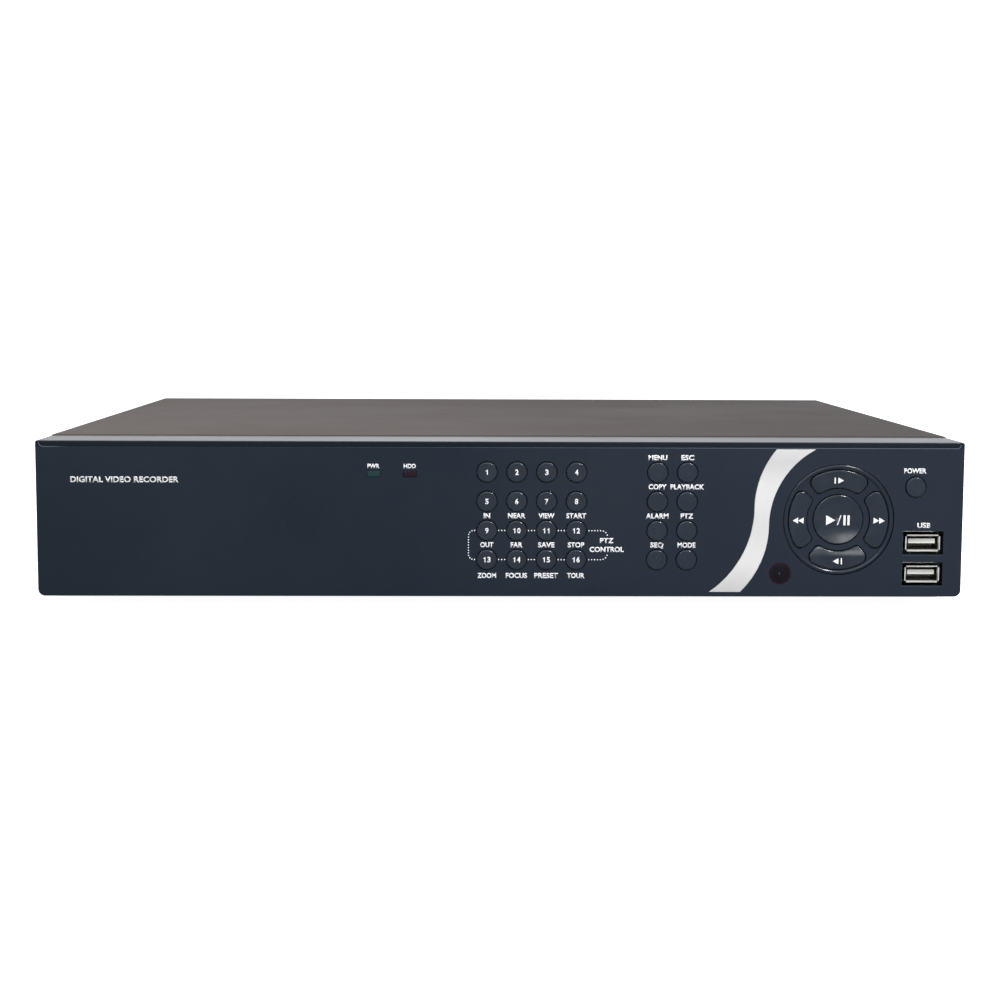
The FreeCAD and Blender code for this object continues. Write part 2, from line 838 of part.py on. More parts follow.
def make_lamp_lens(label, across):
    """A clear light guide from a lamp on the board to its slot in the front."""
    body = new_body(f"{label}_body")
    place(body, across, front_y, low_z + lamp_z)
    face = sketch_on(body, "XZ_Plane", f"{label}_face")
    rectangle(face, around(dim(0), lamp_width), around(dim(0), lamp_height))
    bar = pad(body, face, front_board_deep - 2, reverse=True)
    soften(body, bar, 0.3, lambda edge: near(edge.BoundBox.YMax, 0))
    lip = sketch_on(body, "XZ_Plane", f"{label}_lip", -(bezel_wall + flange_gap))
    rectangle(lip, around(dim(0), lamp_width + 2), around(dim(0), lamp_height + 2))
    pad(body, lip, 1, reverse=True)
    return node(body, label)


def make_port_shell():
    """A serial socket's folded steel shell, flared at its mouth."""
    body = new_body("port_shell")
    wide = port_inside_width + 2 * port_metal
    high = port_inside_height + 2 * port_metal
    wide_mouth = wide + 2 * port_flare
    high_mouth = high + 2 * port_flare
    tube = sketch_on(body, "XZ_Plane", "shell_tube", -(port_sunk + port_flare_deep))
    rectangle(tube, around(dim(0), wide), around(dim(0), high))
    pad(body, tube, front_board_deep - port_sunk - port_flare_deep, reverse=True)
    for kind, inset, back in (("Additive", dim(0), 0), ("Subtractive", port_metal, 1)):
        mouth = sketch_on(body, "XZ_Plane", f"shell_{kind}_mouth", -port_sunk)
        rectangle(mouth, around(dim(0), wide_mouth - 2 * inset),
                  around(dim(0), high_mouth - 2 * inset))
        throat = sketch_on(body, "XZ_Plane", f"shell_{kind}_throat",
                           -(port_sunk + port_flare_deep))
        rectangle(throat, around(dim(0), wide - 2 * inset), around(dim(0), high - 2 * inset))
        loft = body.newObject(f"PartDesign::{kind}Loft", f"shell_{kind}_loft")
        loft.Profile = mouth
        loft.Sections = [throat]
        doc.recompute()
    inside = sketch_on(body, "XZ_Plane", "shell_inside", -(port_sunk + port_flare_deep))
    rectangle(inside, around(dim(0), port_inside_width), around(dim(0), port_inside_height))
    pocket(body, inside, front_board_deep - port_sunk - port_flare_deep - port_metal)
    corners = sketch_on(body, "XZ_Plane", "shell_corners", -port_sunk)
    for side in (-1, 1):
        for level in (-1, 1):
            rectangle(corners, sorted_pair(side * (wide - port_metal) / 2, side * wide_mouth / 2),
                      sorted_pair(level * (high - port_metal) / 2, level * high_mouth / 2))
    pocket(body, corners, port_flare_deep)
    return body


def sorted_pair(first, second):
    """Two sizes in rising order."""
    first, second = dim(first), dim(second)
    return (first, second) if first.number < second.number else (second, first)


def make_port_tongue():
    """The plastic tongue inside a serial socket, with the block that carries it."""
    block_front = front_board_deep - port_metal - 3.2
    block_half = port_inside_width / 2 - 0.05
    stem = block("tongue_block", (-block_half, block_half),
                 (block_front, front_board_deep - port_metal),
                 around(dim(0), port_inside_height - 0.1))
    blade = block("tongue_blade", around(dim(0), tongue_width),
                  (port_sunk + tongue_sunk, block_front + 1),
                  around(tongue_drop, tongue_thick))
    return fuse("tongue", [stem, blade])


def make_ports():
    """Both front sockets: their shells and their tongues."""
    shell = make_port_shell()
    tongue = make_port_tongue()
    for label, original in (("usb_shells", shell), ("usb_tongues", tongue)):
        pair = []
        for height in (port_upper, port_lower):
            name = f"{label}_{len(pair)}"
            pair.append(copy_of(original, name, port_x, front_y, low_z + height))
        node(group(f"{label}_group", pair), label)


# ---------------------------------------------------------------- keys and their board

def make_plunger():
    """The spring-loaded pin of a tact switch, pushed by a key's stem."""
    pin = rod("plunger_pin", plunger_radius, plunger_out + plunger_in, "y", 0, stem_end, 0)
    return group("plunger", [pin])


def make_round_cap(name, radius):
    """A round key: its cap, the flange that keeps it behind the front, and its stem."""
    body = new_body(name)
    section = sketch_on(body, "YZ_Plane", f"{name}_section")
    flange_front = bezel_wall + flange_gap
    flange_back = flange_front + flange_thick
    lip = radius + flange_lip
    path(section, [(-key_proud, dim(0)), (-key_proud, radius), (flange_front, radius),
                   (flange_front, lip), (flange_back, lip), (flange_back, stem_radius),
                   (stem_end, stem_radius), (stem_end, dim(0))])
    cap = revolve(body, section, "Y_Axis")
    soften(body, cap, key_round, lambda edge: near(edge.BoundBox.YMax, -key_proud))
    return body


def make_arrow_cap():
    """The pad's upper key: a slice of a dished ring on a wider flange, with a stem."""
    body = new_body("arrow_cap")
    back = bezel_wall + 1.2 + flange_gap
    section = sketch_on(body, "YZ_Plane", "arrow_section")
    sector(section, slope_at(arrow_outer) - arrow_proud, slope_at(arrow_inner) - arrow_proud,
           back + flange_thick, arrow_outer, arrow_inner)
    slice_of_ring = revolve(body, section, "Y_Axis", 2 * arrow_half_angle)
    soft = round_corners(body, slice_of_ring)
    mouth = dim(slope_at(arrow_inner) - arrow_proud).number
    soften(body, soft, key_round, lambda edge: edge.BoundBox.YMax < mouth + 0.05)
    wide = sketch_on(body, "YZ_Plane", "arrow_flange")
    sector(wide, back, back, back + flange_thick, arrow_outer + 1, arrow_inner - 1)
    revolve(body, wide, "Y_Axis", 2 * (arrow_half_angle + 3))
    stem = sketch_on(body, "XZ_Plane", "arrow_stem", -stem_end)
    circle(stem, 0, (arrow_outer + arrow_inner) / 2, stem_radius)
    pad(body, stem, stem_end - back - flange_thick / 2)
    return body


def make_centre_cap():
    """The pad's middle key, slightly hollow so that a fingertip finds it."""
    body = new_body("centre_cap")
    section = sketch_on(body, "YZ_Plane", "centre_section")
    front = slope_at(centre_radius) - arrow_proud
    back = bezel_wall + 1.2 + flange_gap
    lip = centre_radius + 1
    rim = centre_radius - key_round
    path(section, [(front + centre_hollow, dim(0), dome_radius(rim, centre_hollow), 1),
                   (front, rim, key_round, -1), (front + key_round, centre_radius),
                   (back, centre_radius),
                   (back, lip), (back + flange_thick, lip), (back + flange_thick, stem_radius),
                   (stem_end, stem_radius), (stem_end, dim(0))])
    revolve(body, section, "Y_Axis")
    return body


def make_keys():
    """Thirty keys, each a cap with the switch plunger that it rests on."""
    plunger = make_plunger()
    round_cap = make_round_cap("round_cap", key_radius)
    arrow_cap = make_arrow_cap()
    centre_cap = make_centre_cap()
    for label, across, height in round_key_spots():
        cap = copy_of(round_cap, f"{label}_cap")
        pin = copy_of(plunger, f"{label}_pin")
        whole = group(f"{label}_group", [cap, pin])
        node(place(whole, across, front_y, low_z + height), label)
    for label, angle in ARROW_KEYS:
        cap = copy_of(arrow_cap, f"{label}_cap")
        pin = copy_of(plunger, f"{label}_pin", 0, 0, (arrow_outer + arrow_inner) / 2)
        whole = group(f"{label}_group", [cap, pin])
        whole.Placement = Placement(Vector(), Rotation(Vector(0, 1, 0), angle))
        node(place(whole, pad_x, front_y, low_z + pad_middle), label)
    middle = group("centre_group", [copy_of(centre_cap, "centre_cap_copy"),
                                    copy_of(plunger, "centre_pin")])
    node(place(middle, pad_x, front_y, low_z + pad_middle), "key_play_pause")


def all_key_spots():
    return round_key_spots() + arrow_spots() + [("key_play_pause", pad_x, pad_middle)]


def make_switches():
    """Tact switch housings, soldered to the front board behind every key."""
    case = block("switch_case", around(dim(0), switch_side),
                 (switch_front, front_board_deep), around(dim(0), switch_side))
    bore = rod("switch_hole", switch_bore, plunger_in + key_travel + 0.4, "y", 0,
               switch_front, 0)
    housing = cut("switch_housing", case, bore)
    copies = []
    for label, across, height in all_key_spots():
        copies.append(copy_of(housing, f"{label}_switch", across, front_y, low_z + height))
    return node(group("switches", copies), "key_switches")


def make_front_board():
    """The key board, screwed to the bosses behind the front."""
    left = power_lamp_x - 10
    right = right_x - bezel_wall - front_board_edge
    edge = bezel_wall + 1
    board_y = front_y + front_board_deep
    board = block("front_board_blank", (left, right), (board_y, board_y + board_thick),
                  (low_z + edge, low_z + bezel_high - edge))
    holes = []
    for across, height in board_fixings():
        holes.append(rod(f"board_hole_{len(holes)}", screw_radius + screw_room,
                         board_thick + 2, "y", across, board_y - 1, low_z + height))
    return node(cut("front_board_cut", board, fuse("front_board_holes", holes)), "front_board")


# ---------------------------------------------------------------- the steel box

def rear_screw_spots():
    """Screws through the cover's rear lip and the rear panel's lower edge."""
    high = body_height - lip_high / 2 - steel / 2
    low = steel + panel_screw_low
    upper = [(half_width * side, high) for side in (-0.86, 0.0, 0.86)]
    lower = [(half_width * side, low) for side in (-0.93, 0.93)]
    return upper, lower


def foot_spots():
    front = seam_y + foot_inset
    rear = rear_y - foot_inset
    side = half_width - foot_inset
    return [(x, y) for x in (-side, side) for y in (front, rear)]


def standoff_spots():
    """Pillars under the main board, the disk drive and the power supply."""
    inner = pan_half - steel
    board_left = board_side - inner
    board_rear = panel_y - steel
    spots = []
    for x in (board_left + 8, board_left + board_wide / 2, board_left + board_wide - 8):
        for y in (board_rear - 24, board_rear - board_long + 8):
            spots.append((x, y))
    drive_x = inner - drive_right
    drive_y = seam_y + drive_front
    for x in (drive_x - 3.5, drive_x - drive_wide + 3.5):
        for y in (drive_y + 16, drive_y + drive_long - 40):
            spots.append((x, y))
    supply_y = panel_y - supply_rear
    for x in (drive_x - 5, drive_x - supply_wide + 5):
        for y in (supply_y - 5, supply_y - supply_long + 5):
            spots.append((x, y))
    return spots


def make_base_pan():
    """The folded base: floor, side flanges, front wall and the pillars pressed up from it."""
    body = new_body("pan")
    place(body, 0, seam_y, low_z)
    tray = sketch_on(body, "XZ_Plane", "pan_section")
    path(tray, [(-pan_half, dim(0)), (pan_half, dim(0)), (pan_half, flange_high),
                (pan_half - steel, flange_high), (pan_half - steel, steel),
                (steel - pan_half, steel), (steel - pan_half, flange_high),
                (-pan_half, flange_high)])
    pad(body, tray, panel_y - seam_y, reverse=True)
    wall = sketch_on(body, "XZ_Plane", "pan_wall", -fit_gap)
    rectangle(wall, (-pan_half, pan_half), (steel / 2, under_cover))
    pad(body, wall, steel, reverse=True)
    pillars = sketch_on(body, "XY_Plane", "pan_pillars", steel / 2)
    for x, y in standoff_spots():
        circle(pillars, x, y - seam_y, standoff_radius)
    pad(body, pillars, standoff_high + steel / 2)
    threads = sketch_on(body, "XY_Plane", "pan_threads", steel + standoff_high)
    for x, y in standoff_spots():
        circle(threads, x, y - seam_y, screw_radius + screw_room / 2)
    pocket(body, threads, standoff_high - 1)
    openings = sketch_on(body, "XZ_Plane", "pan_openings")
    rectangle(openings, around(lead_x, lead_width + 10), around(lead_high, lead_window))
    rectangle(openings, around(-half_width / 2, wall_vent), around(lead_high, lead_window))
    for across, low_end, high_end in tab_spots():
        rectangle(openings, around(across, tab_width + 2 * tab_room),
                  (low_end - tab_room, high_end + tab_room))
    pocket(body, openings, steel + 2)
    holes = sketch_on(body, "XY_Plane", "pan_holes")
    for x, y in foot_spots():
        circle(holes, x, y - seam_y, screw_radius + screw_room)
    pocket(body, holes, steel, reverse=True)
    return node(body, "base_pan")


def make_cover():
    """The wrap-round lid with side slots and a lip that folds down over the rear panel."""
    body = new_body("cover")
    place(body, 0, seam_y, low_z)
    inner = half_width - steel
    hoop = sketch_on(body, "XZ_Plane", "cover_section", -fit_gap)
    path(hoop, [(-half_width, dim(0)), (-inner, dim(0)), (-inner, body_height - steel),
                (inner, body_height - steel), (inner, dim(0)), (half_width, dim(0)),
                (half_width, body_height), (-half_width, body_height)])
    sleeve = pad(body, hoop, rear_y - seam_y - fit_gap, reverse=True)
    outside = soften(body, sleeve, bend_radius,
                     lambda edge: runs_along(edge, "y") and near(middle_of(edge).z, body_height))
    bent = soften(body, outside, bend_radius - steel,
                  lambda edge: runs_along(edge, "y") and near(middle_of(edge).z, body_height - steel))
    soften(body, bent, hem_round,
           lambda edge: runs_along(edge, "x") and near(middle_of(edge).z, body_height)
           and near(middle_of(edge).y, fit_gap))
    lip = sketch_on(body, "XZ_Plane", "cover_lip", seam_y - rear_y)
    rectangle(lip, (1 - inner, inner - 1), (body_height - lip_high, body_height - steel / 2))
    pad(body, lip, steel)
    upper, _ = rear_screw_spots()
    holes = sketch_on(body, "XZ_Plane", "cover_holes", seam_y - rear_y)
    for x, z in upper:
        circle(holes, x, z, screw_radius + screw_room)
    pocket(body, holes, steel, reverse=True)
    slots = sketch_on(body, "YZ_Plane", "cover_slots")
    for index in range(16):
        start = slot_first + index * slot_pitch
        rectangle(slots, (start, start + slot_wide), (slot_low, slot_low + slot_high))
    pocket(body, slots, body_width + 2, midplane=True)
    return node(body, "top_cover")


def jack_spots():
    """Every video socket: nine columns of two, along the rear panel's far side."""
    spots = []
    for column in range(9):
        for row in range(2):
            across = jack_side + column * jack_pitch - half_width
            height = board_top + jack_row / 2 + row * jack_row
            spots.append((across, height))
    return spots


def sound_spots():
    spots = []
    for column in range(2):
        for row in range(2):
            across = sound_side + column * sound_pitch - half_width
            height = board_top + 7 + row * sound_pitch
            spots.append((across, height))
    return spots


screen_x = screen_side - half_width
network_x = network_side - half_width
terminal_x = terminal_side - half_width
fan_x = fan_side - half_width
inlet_x = inlet_side - half_width
screen_z = board_top + screen_height / 2
fan_z = low_z + fan_middle
inlet_z = low_z + inlet_middle
TERMINAL_WAYS = 11
terminal_width = TERMINAL_WAYS * terminal_pitch


def fan_hole_spots():
    reach = fan_hole_pitch / 2
    return [(fan_x + i * reach, fan_z + j * reach) for i in (-1, 1) for j in (-1, 1)]


def inlet_hole_spots():
    return [(inlet_x + side * 20, inlet_z) for side in (-1, 1)]


def make_rear_panel():
    """The flat steel rear, with a hole for each socket and slots over the fan."""
    body = new_body("panel")
    place(body, 0, panel_y - steel, low_z)
    half = pan_half - steel - fit_gap
    outline = sketch_on(body, "XZ_Plane", "panel_outline")
    rectangle(outline, (-half, half), (steel + flange_gap, under_cover))
    pad(body, outline, steel, reverse=True)
    holes = sketch_on(body, "XZ_Plane", "panel_holes")
    for x, z in jack_spots():
        circle(holes, x, z - low_z, jack_radius + fit_gap)
    for x, z in sound_spots():
        circle(holes, x, z - low_z, sound_radius + fit_gap)
    rectangle(holes, around(screen_x, dim(18.4)), around(screen_z - low_z, dim(10)))
    for side in (-1, 1):
        circle(holes, screen_x + side * 12.5, screen_z - low_z, 1.7)
    network_low = board_top - low_z
    rectangle(holes, around(network_x, network_width + 2 * fit_gap),
              (network_low - fit_gap, network_low + network_height + fit_gap))
    rectangle(holes, around(terminal_x, terminal_width + 2 * fit_gap),
              (network_low - fit_gap, network_low + terminal_high + fit_gap))
    rectangle(holes, around(inlet_x, inlet_body_width + 2 * fit_gap),
              around(inlet_middle, inlet_body_height + 2 * fit_gap))
    upper, lower = rear_screw_spots()
    fixings = upper + lower
    fixings += [(x, z - low_z) for x, z in fan_hole_spots() + inlet_hole_spots()]
    for x, z in fixings:
        circle(holes, x, z, screw_radius + screw_room)
    reach = fan_square / 2 - 2
    for index in range(-3, 4):
        across = fan_x + index * 4.6
        half_slot = math.sqrt(1 - (index * 4.6 / 18.0) ** 2)
        half_slot = reach * half_slot
        rectangle(holes, around(across, dim(2.6)),
                  (fan_middle - half_slot, fan_middle + half_slot))
    pocket(body, holes, steel)
    return node(body, "rear_panel")


def make_feet():
    """Four rubber feet, each with a deep hole for its screw."""
    feet = []
    for x, y in foot_spots():
        index = len(feet)
        pad_of_rubber = doc.addObject("Part::Cone", f"foot_cone_{index}")
        bind(pad_of_rubber, "Radius1", foot_radius * 0.86)
        bind(pad_of_rubber, "Radius2", foot_radius)
        bind(pad_of_rubber, "Height", foot_height)
        place(pad_of_rubber, x, y, 0)
        hole = rod(f"foot_hole_{index}", screw_radius + screw_room, foot_height, "z", x, y, 0)
        head = rod(f"foot_sink_{index}", screw_head + 0.4, foot_height - 1.5, "z", x, y, 0)
        feet.append(cut(f"foot_{index}", pad_of_rubber, fuse(f"foot_room_{index}", [hole, head])))
    return node(group("feet", feet), "rubber_feet")


def make_screw(name, length):
    """A pan-head screw that points along -Y, its head's underside at the origin."""
    head = rod(f"{name}_head", screw_head, screw_head_high, "y", 0, 0, 0)
    rounded = doc.addObject("Part::Fillet", f"{name}_round")
    rounded.Base = head
    doc.recompute()
    far_edge = [index + 1 for index, edge in enumerate(head.Shape.Edges)
                if near(edge.BoundBox.YMin, screw_head_high)]
    rounded.Edges = [(far_edge[0], 1.0, 1.0)]
    shank = rod(f"{name}_shank", screw_radius, length + 0.2, "y", 0, -length, 0)
    solid = fuse(f"{name}_solid", [rounded, shank])
    top = screw_head_high - 0.9
    arms = [block(f"{name}_arm_a", around(dim(0), dim(3.2)), (top, screw_head_high + 1),
                  around(dim(0), dim(0.7))),
            block(f"{name}_arm_b", around(dim(0), dim(0.7)), (top, screw_head_high + 1),
                  around(dim(0), dim(3.2)))]
    return cut(name, solid, fuse(f"{name}_cross", arms))


def make_screws():
    """Every M3 screw that holds the case together."""
    case_screw = make_screw("case_screw", screw_length)
    short_screw = make_screw("short_screw", standoff_high - 3)
    upper, lower = rear_screw_spots()
    screws = []
    for x, z in upper:
        screws.append(copy_of(case_screw, f"lip_screw_{len(screws)}", x, rear_y, low_z + z))
    for x, z in lower:
        screws.append(copy_of(case_screw, f"panel_screw_{len(screws)}", x, panel_y, low_z + z))
    for x, z in fan_hole_spots():
        screws.append(copy_of(case_screw, f"fan_screw_{len(screws)}", x, panel_y, z))
    for x, z in inlet_hole_spots():
        screws.append(copy_of(case_screw, f"inlet_screw_{len(screws)}", x, panel_y + 2, z))
    down = Rotation(Vector(1, 0, 0), -90)
    for x, y in foot_spots():
        screws.append(copy_of(case_screw, f"foot_screw_{len(screws)}", x, y,
                              foot_height - 1.5, down))
    board_y = front_y + front_board_deep + board_thick
    for across, height in board_fixings():
        screws.append(copy_of(case_screw, f"board_screw_{len(screws)}", across, board_y,
                              low_z + height))
    up = Rotation(Vector(1, 0, 0), 90)
    for x, y in standoff_spots()[:6]:
        screws.append(copy_of(short_screw, f"main_screw_{len(screws)}", x, y, board_top, up))
    return node(group("screws", screws), "case_screws")


# ---------------------------------------------------------------- rear sockets

def make_video_jacks():
    """Bayonet video sockets with nuts and lugs, and the insulated contact in each."""
    inside_y = panel_y - steel
    length = jack_reach + steel
    barrel = rod("jack_barrel", jack_radius, length + steel + 0.5, "y", 0, -steel - 0.5, 0)
    nut = doc.addObject("Part::Prism", "jack_nut_blank")
    nut.Polygon = 6
    nut.Placement = Placement(Vector(), AXIS_TURNS["y"])
    bind(nut, "Circumradius", jack_nut)
    bind(nut, "Height", jack_nut_thick)
    lugs = rod("jack_lugs", 1.0, 2 * jack_radius + 2.0, "z", 0, length - 4.2,
               -(jack_radius + 1.0))
    base = block("jack_base", around(dim(0), jack_block), (dim(-14), -steel),
                 around(dim(0), jack_row - 0.4))
    solid = fuse("jack_solid", [barrel, nut, lugs, base])
    bore = rod("jack_hollow", jack_bore, length, "y", 0, 1, 0)
    jack = cut("jack", solid, bore)
    sleeve = rod("core_sleeve", 2.4, 7, "y", 0, 1, 0)
    hole = rod("core_hole", 0.7, 6, "y", 0, 4, 0)
    skirt = rod("core_skirt", jack_bore - 0.05, 1.5, "y", 0, 1, 0)
    core = cut("core", fuse("core_solid", [sleeve, skirt]), hole)
    for label, original in (("video_jacks", jack), ("video_jack_cores", core)):
        copies = []
        for x, z in jack_spots():
            copies.append(copy_of(original, f"{label}_{len(copies)}", x, inside_y + steel, z))
        node(group(f"{label}_group", copies), label)


def make_audio_jacks():
    """Four phono sockets in a two-by-two block."""
    barrel = rod("sound_barrel", sound_radius, sound_reach + steel + 1, "y", 0, -steel - 1, 0)
    collar = rod("sound_collar", sound_radius + 1.6, 1.2, "y", 0, 0, 0)
    base = block("sound_base", around(dim(0), sound_pitch - 1), (dim(-12), -steel),
                 around(dim(0), sound_pitch - 0.5))
    solid = fuse("sound_solid", [barrel, collar, base])
    jack = cut("sound_jack", solid, rod("sound_hollow", sound_bore, sound_reach, "y", 0, 1, 0))
    copies = []
    for x, z in sound_spots():
        copies.append(copy_of(jack, f"sound_{len(copies)}", x, panel_y, z))
    return node(group("sounds", copies), "audio_jacks")


def make_screen_port():
    """The fifteen-way monitor socket: shell, insulator with its holes, and two posts."""
    y = panel_y
    flange = block("screen_flange", around(screen_x, screen_width),
                   (y - steel - 1, y - steel), around(screen_z, screen_height))
    shell = block("screen_shell", around(screen_x, dim(16.9)), (y - steel - 1, y + 5.6),
                  around(screen_z, dim(8.4)))
    wedge = []
    for side in (-1, 1):
        blade = block(f"screen_wedge_{side + 1}", around(dim(0), dim(6)), (dim(0), dim(9)),
                      around(dim(0), dim(30)))
        blade.Placement = Placement(Vector(), Rotation(Vector(0, 1, 0), 10 * side))
        wedge.append(place(blade, screen_x + side * 11.2 - 3, y - steel, screen_z - 15))
    hollow = block("screen_hollow", around(screen_x, dim(15.4)), (y + 0.5, y + 6),
                   around(screen_z, dim(7.0)))
    holes = [hollow]
    for row in range(3):
        for column in range(5):
            across = screen_x + (column - 2) * 2.29 + (row - 1) * 0.5
            holes.append(rod(f"screen_pin_{row}_{column}", 0.45, 2, "y", across, y - 1,
                             screen_z + (row - 1) * 1.98))
    shaped = cut("screen_shaped", shell, fuse("screen_wedges", wedge))
    base = block("screen_base", around(screen_x, screen_width), (y - 14, y - steel - 1),
                 (board_top, screen_z + screen_height / 2))
    solid = fuse("screen_solid", [shaped, flange, base])
    posts = []
    for side in (-1, 1):
        post = doc.addObject("Part::Prism", f"screen_post_{side + 1}")
        post.Polygon = 6
        post.Placement = Placement(Vector(), AXIS_TURNS["y"])
        bind(post, "Circumradius", 2.6)
        bind(post, "Height", 4.6)
        place(post, screen_x + side * 12.5, y, screen_z)
        thread = rod(f"screen_thread_{side + 1}", 1.3, 6, "y", screen_x + side * 12.5, y,
                     screen_z)
        posts.append(cut(f"screen_nut_{side + 1}", post, thread))
    body = cut("screen_body", solid, fuse("screen_room", holes))
    return node(group("screen", [body] + posts), "screen_port")


def make_network_port():
    """The eight-way network socket, a moulded box with a stepped mouth."""
    low = board_top
    case = block("network_case", around(network_x, network_width),
                 (panel_y - network_deep, panel_y + 0.6), (low, low + network_height))
    mouth = block("network_mouth", around(network_x, dim(11.8)),
                  (panel_y - network_deep + 3, panel_y + 2), (low + 3.6, low + 10.8))
    latch = block("network_latch", around(network_x, dim(6.2)),
                  (panel_y - network_deep + 3, panel_y + 2), (low + 1.2, low + 3.7))
    tools = fuse("network_room", [mouth, latch])
    return node(cut("network", case, tools), "network_port")


def make_terminals():
    """The alarm terminal block: a row of wire holes below a row of clamp screws."""
    low = board_top
    front = panel_y + 1.5
    case = block("terminal_case", around(terminal_x, terminal_width),
                 (front - terminal_deep, front), (low, low + terminal_high))
    tools = []
    for index in range(TERMINAL_WAYS):
        across = terminal_x + (index - (TERMINAL_WAYS - 1) / 2) * terminal_pitch
        tools.append(block(f"terminal_mouth_{index}", around(across, dim(2.6)),
                           (front - 7, front + 1), (low + 1.6, low + 4.8)))
        tools.append(rod(f"terminal_screw_{index}", 1.3, 4, "y", across, front - 3, low + 8))
    return node(cut("terminals", case, fuse("terminal_room", tools)), "alarm_terminals")


def make_inlet():
    """The three-blade mains inlet on its flange."""
    flange = block("inlet_flange", around(inlet_x, inlet_flange_width),
                   (panel_y, panel_y + 2), around(inlet_z, inlet_flange_height))
    case = block("inlet_case", around(inlet_x, inlet_body_width),
                 (panel_y + 2 - inlet_deep, panel_y + 1), around(inlet_z, inlet_body_height))
    solid = fuse("inlet_solid", [flange, case])
    well = block("inlet_well", around(inlet_x, inlet_well_width),
                 (panel_y + 2 - inlet_well_deep, panel_y + 3), around(inlet_z, inlet_well_height))
    holes = [well]
    for x, z in inlet_hole_spots():
        holes.append(rod(f"inlet_hole_{len(holes)}", screw_radius + screw_room, 4, "y", x,
                         panel_y - 1, z))
    body = cut("inlet_body", solid, fuse("inlet_room", holes))
    blades = []
    for across, height in ((-7, -2), (0, 2), (7, -2)):
        blades.append(block(f"inlet_blade_{len(blades)}", around(inlet_x + across, dim(2)),
                            (panel_y + 2 - inlet_well_deep, panel_y - 1),
                            around(inlet_z + height, dim(4))))
    return node(group("inlet", [body] + blades), "power_inlet")


def make_fan():
    """The small case fan: a square frame with a motor boss, and the rotor on its shaft."""
    back = panel_y - steel
    front = back - fan_thick
    square = block("fan_blank", around(fan_x, fan_square), (front, back),
                   around(fan_z, fan_square))
    bore = rod("fan_bore", fan_square / 2 - 1.2, fan_thick + 2, "y", fan_x, front - 1, fan_z)
    holes = [bore]
    for x, z in fan_hole_spots():
        holes.append(rod(f"fan_hole_{len(holes)}", screw_radius + screw_room, fan_thick + 2,
                         "y", x, front - 1, z))
    ring = cut("fan_ring", square, fuse("fan_room", holes))
    boss = rod("fan_boss", 10, 1.8, "y", fan_x, front, fan_z)
    pin = rod("fan_pin", fan_shaft, fan_thick - 2, "y", fan_x, front, fan_z)
    arms = []
    for index in range(2):
        across = block(f"fan_arm_{index}", around(dim(0), fan_square - 1), (dim(0), dim(1.8)),
                       around(dim(0), dim(2.4)))
        arm = group(f"fan_arm_turned_{index}", [across])
        arm.Placement = Placement(Vector(), Rotation(Vector(0, 1, 0), 45 + 90 * index))
        arms.append(place(arm, fan_x, front, fan_z))
    node(fuse("fan_frame_solid", [ring, boss, pin] + arms), "fan_frame")

    body = new_body("rotor")
    place(body, fan_x, front, fan_z)
    section = sketch_on(body, "YZ_Plane", "rotor_section")
    hole = fan_shaft + shaft_room
    path(section, [(dim(2.2), hole), (dim(2.2), dim(10.5)), (dim(9), dim(10.5)), (dim(9), hole)])
    hub = revolve(body, section, "Y_Axis")
    soften(body, hub, 0.8, lambda edge: near(edge.BoundBox.YMin, 9) and edge.Length > 30)
    blade = sketch_on(body, "XY_Plane", "rotor_blade", 10)
    path(blade, [(dim(-4.2), dim(2.6)), (dim(-3.0), dim(2.6)), (dim(4.2), dim(8.2)),
                 (dim(4.2), dim(9.0)), (dim(3.0), dim(9.0)), (dim(-4.2), dim(3.4))])
    vane = pad(body, blade, fan_square / 2 - 1.2 - 0.6 - 10)
    repeated = body.newObject("PartDesign::PolarPattern", "rotor_blades")
    repeated.Originals = [vane]
    repeated.Axis = (origin_part(body, "Y_Axis"), [""])
    repeated.Angle = 360
    repeated.Occurrences = 7
    body.Tip = repeated
    doc.recompute()
    return node(body, "fan_rotor")


# ---------------------------------------------------------------- what is inside

def make_main_board():
    """The main circuit board on its pillars."""
    left = steel + board_side - pan_half
    rear = panel_y - steel - 0.3
    board = block("main_board_blank", (left, left + board_wide), (rear - board_long, rear),
                  (board_top - board_thick, board_top))
    holes = []
    for x, y in standoff_spots()[:6]:
        holes.append(rod(f"main_hole_{len(holes)}", screw_radius + screw_room, board_thick + 2,
                         "z", x, y, board_top - board_thick - 1))
    node(cut("main_board_cut", board, fuse("main_board_holes", holes)), "main_board")

    chips = []
    middle = left + board_wide / 2
    front = rear - board_long
    places = [(70, 120, 27, 2.2), (-70, 110, 20, 1.6), (-40, 110, 20, 1.6), (-100, 110, 20, 1.6)]
    places += [(30, 60, 14, 1.2), (50, 60, 14, 1.2), (70, 60, 14, 1.2), (-20, 40, 9, 1.2)]
    for across, along, side, high in places:
        chips.append(block(f"chip_{len(chips)}", around(middle + across, dim(side)),
                           around(front + along, dim(side)), (board_top, board_top + high)))
    for index in range(6):
        chips.append(rod(f"capacitor_{index}", 4, 11, "z", left + 20 + 14 * index, front + 22,
                         board_top))
    node(group("chips", chips), "board_chips")

    chip_top = board_top + 1.6
    base = block("sink_base", around(middle, dim(36)), around(front + 110, dim(36)),
                 (chip_top, chip_top + 2.5))
    fins = []
    for index in range(9):
        across = middle - 17 + index * 4.25
        fins.append(block(f"sink_fin_{index}", around(across, dim(1)),
                          around(front + 110, dim(36)), (chip_top + 2, chip_top + 14)))
    core = block("sink_chip", around(middle, dim(27)), around(front + 110, dim(27)),
                 (board_top, chip_top))
    sink = fuse("sink_solid", [base] + fins)
    node(group("sink", [sink, core]), "heat_sink")


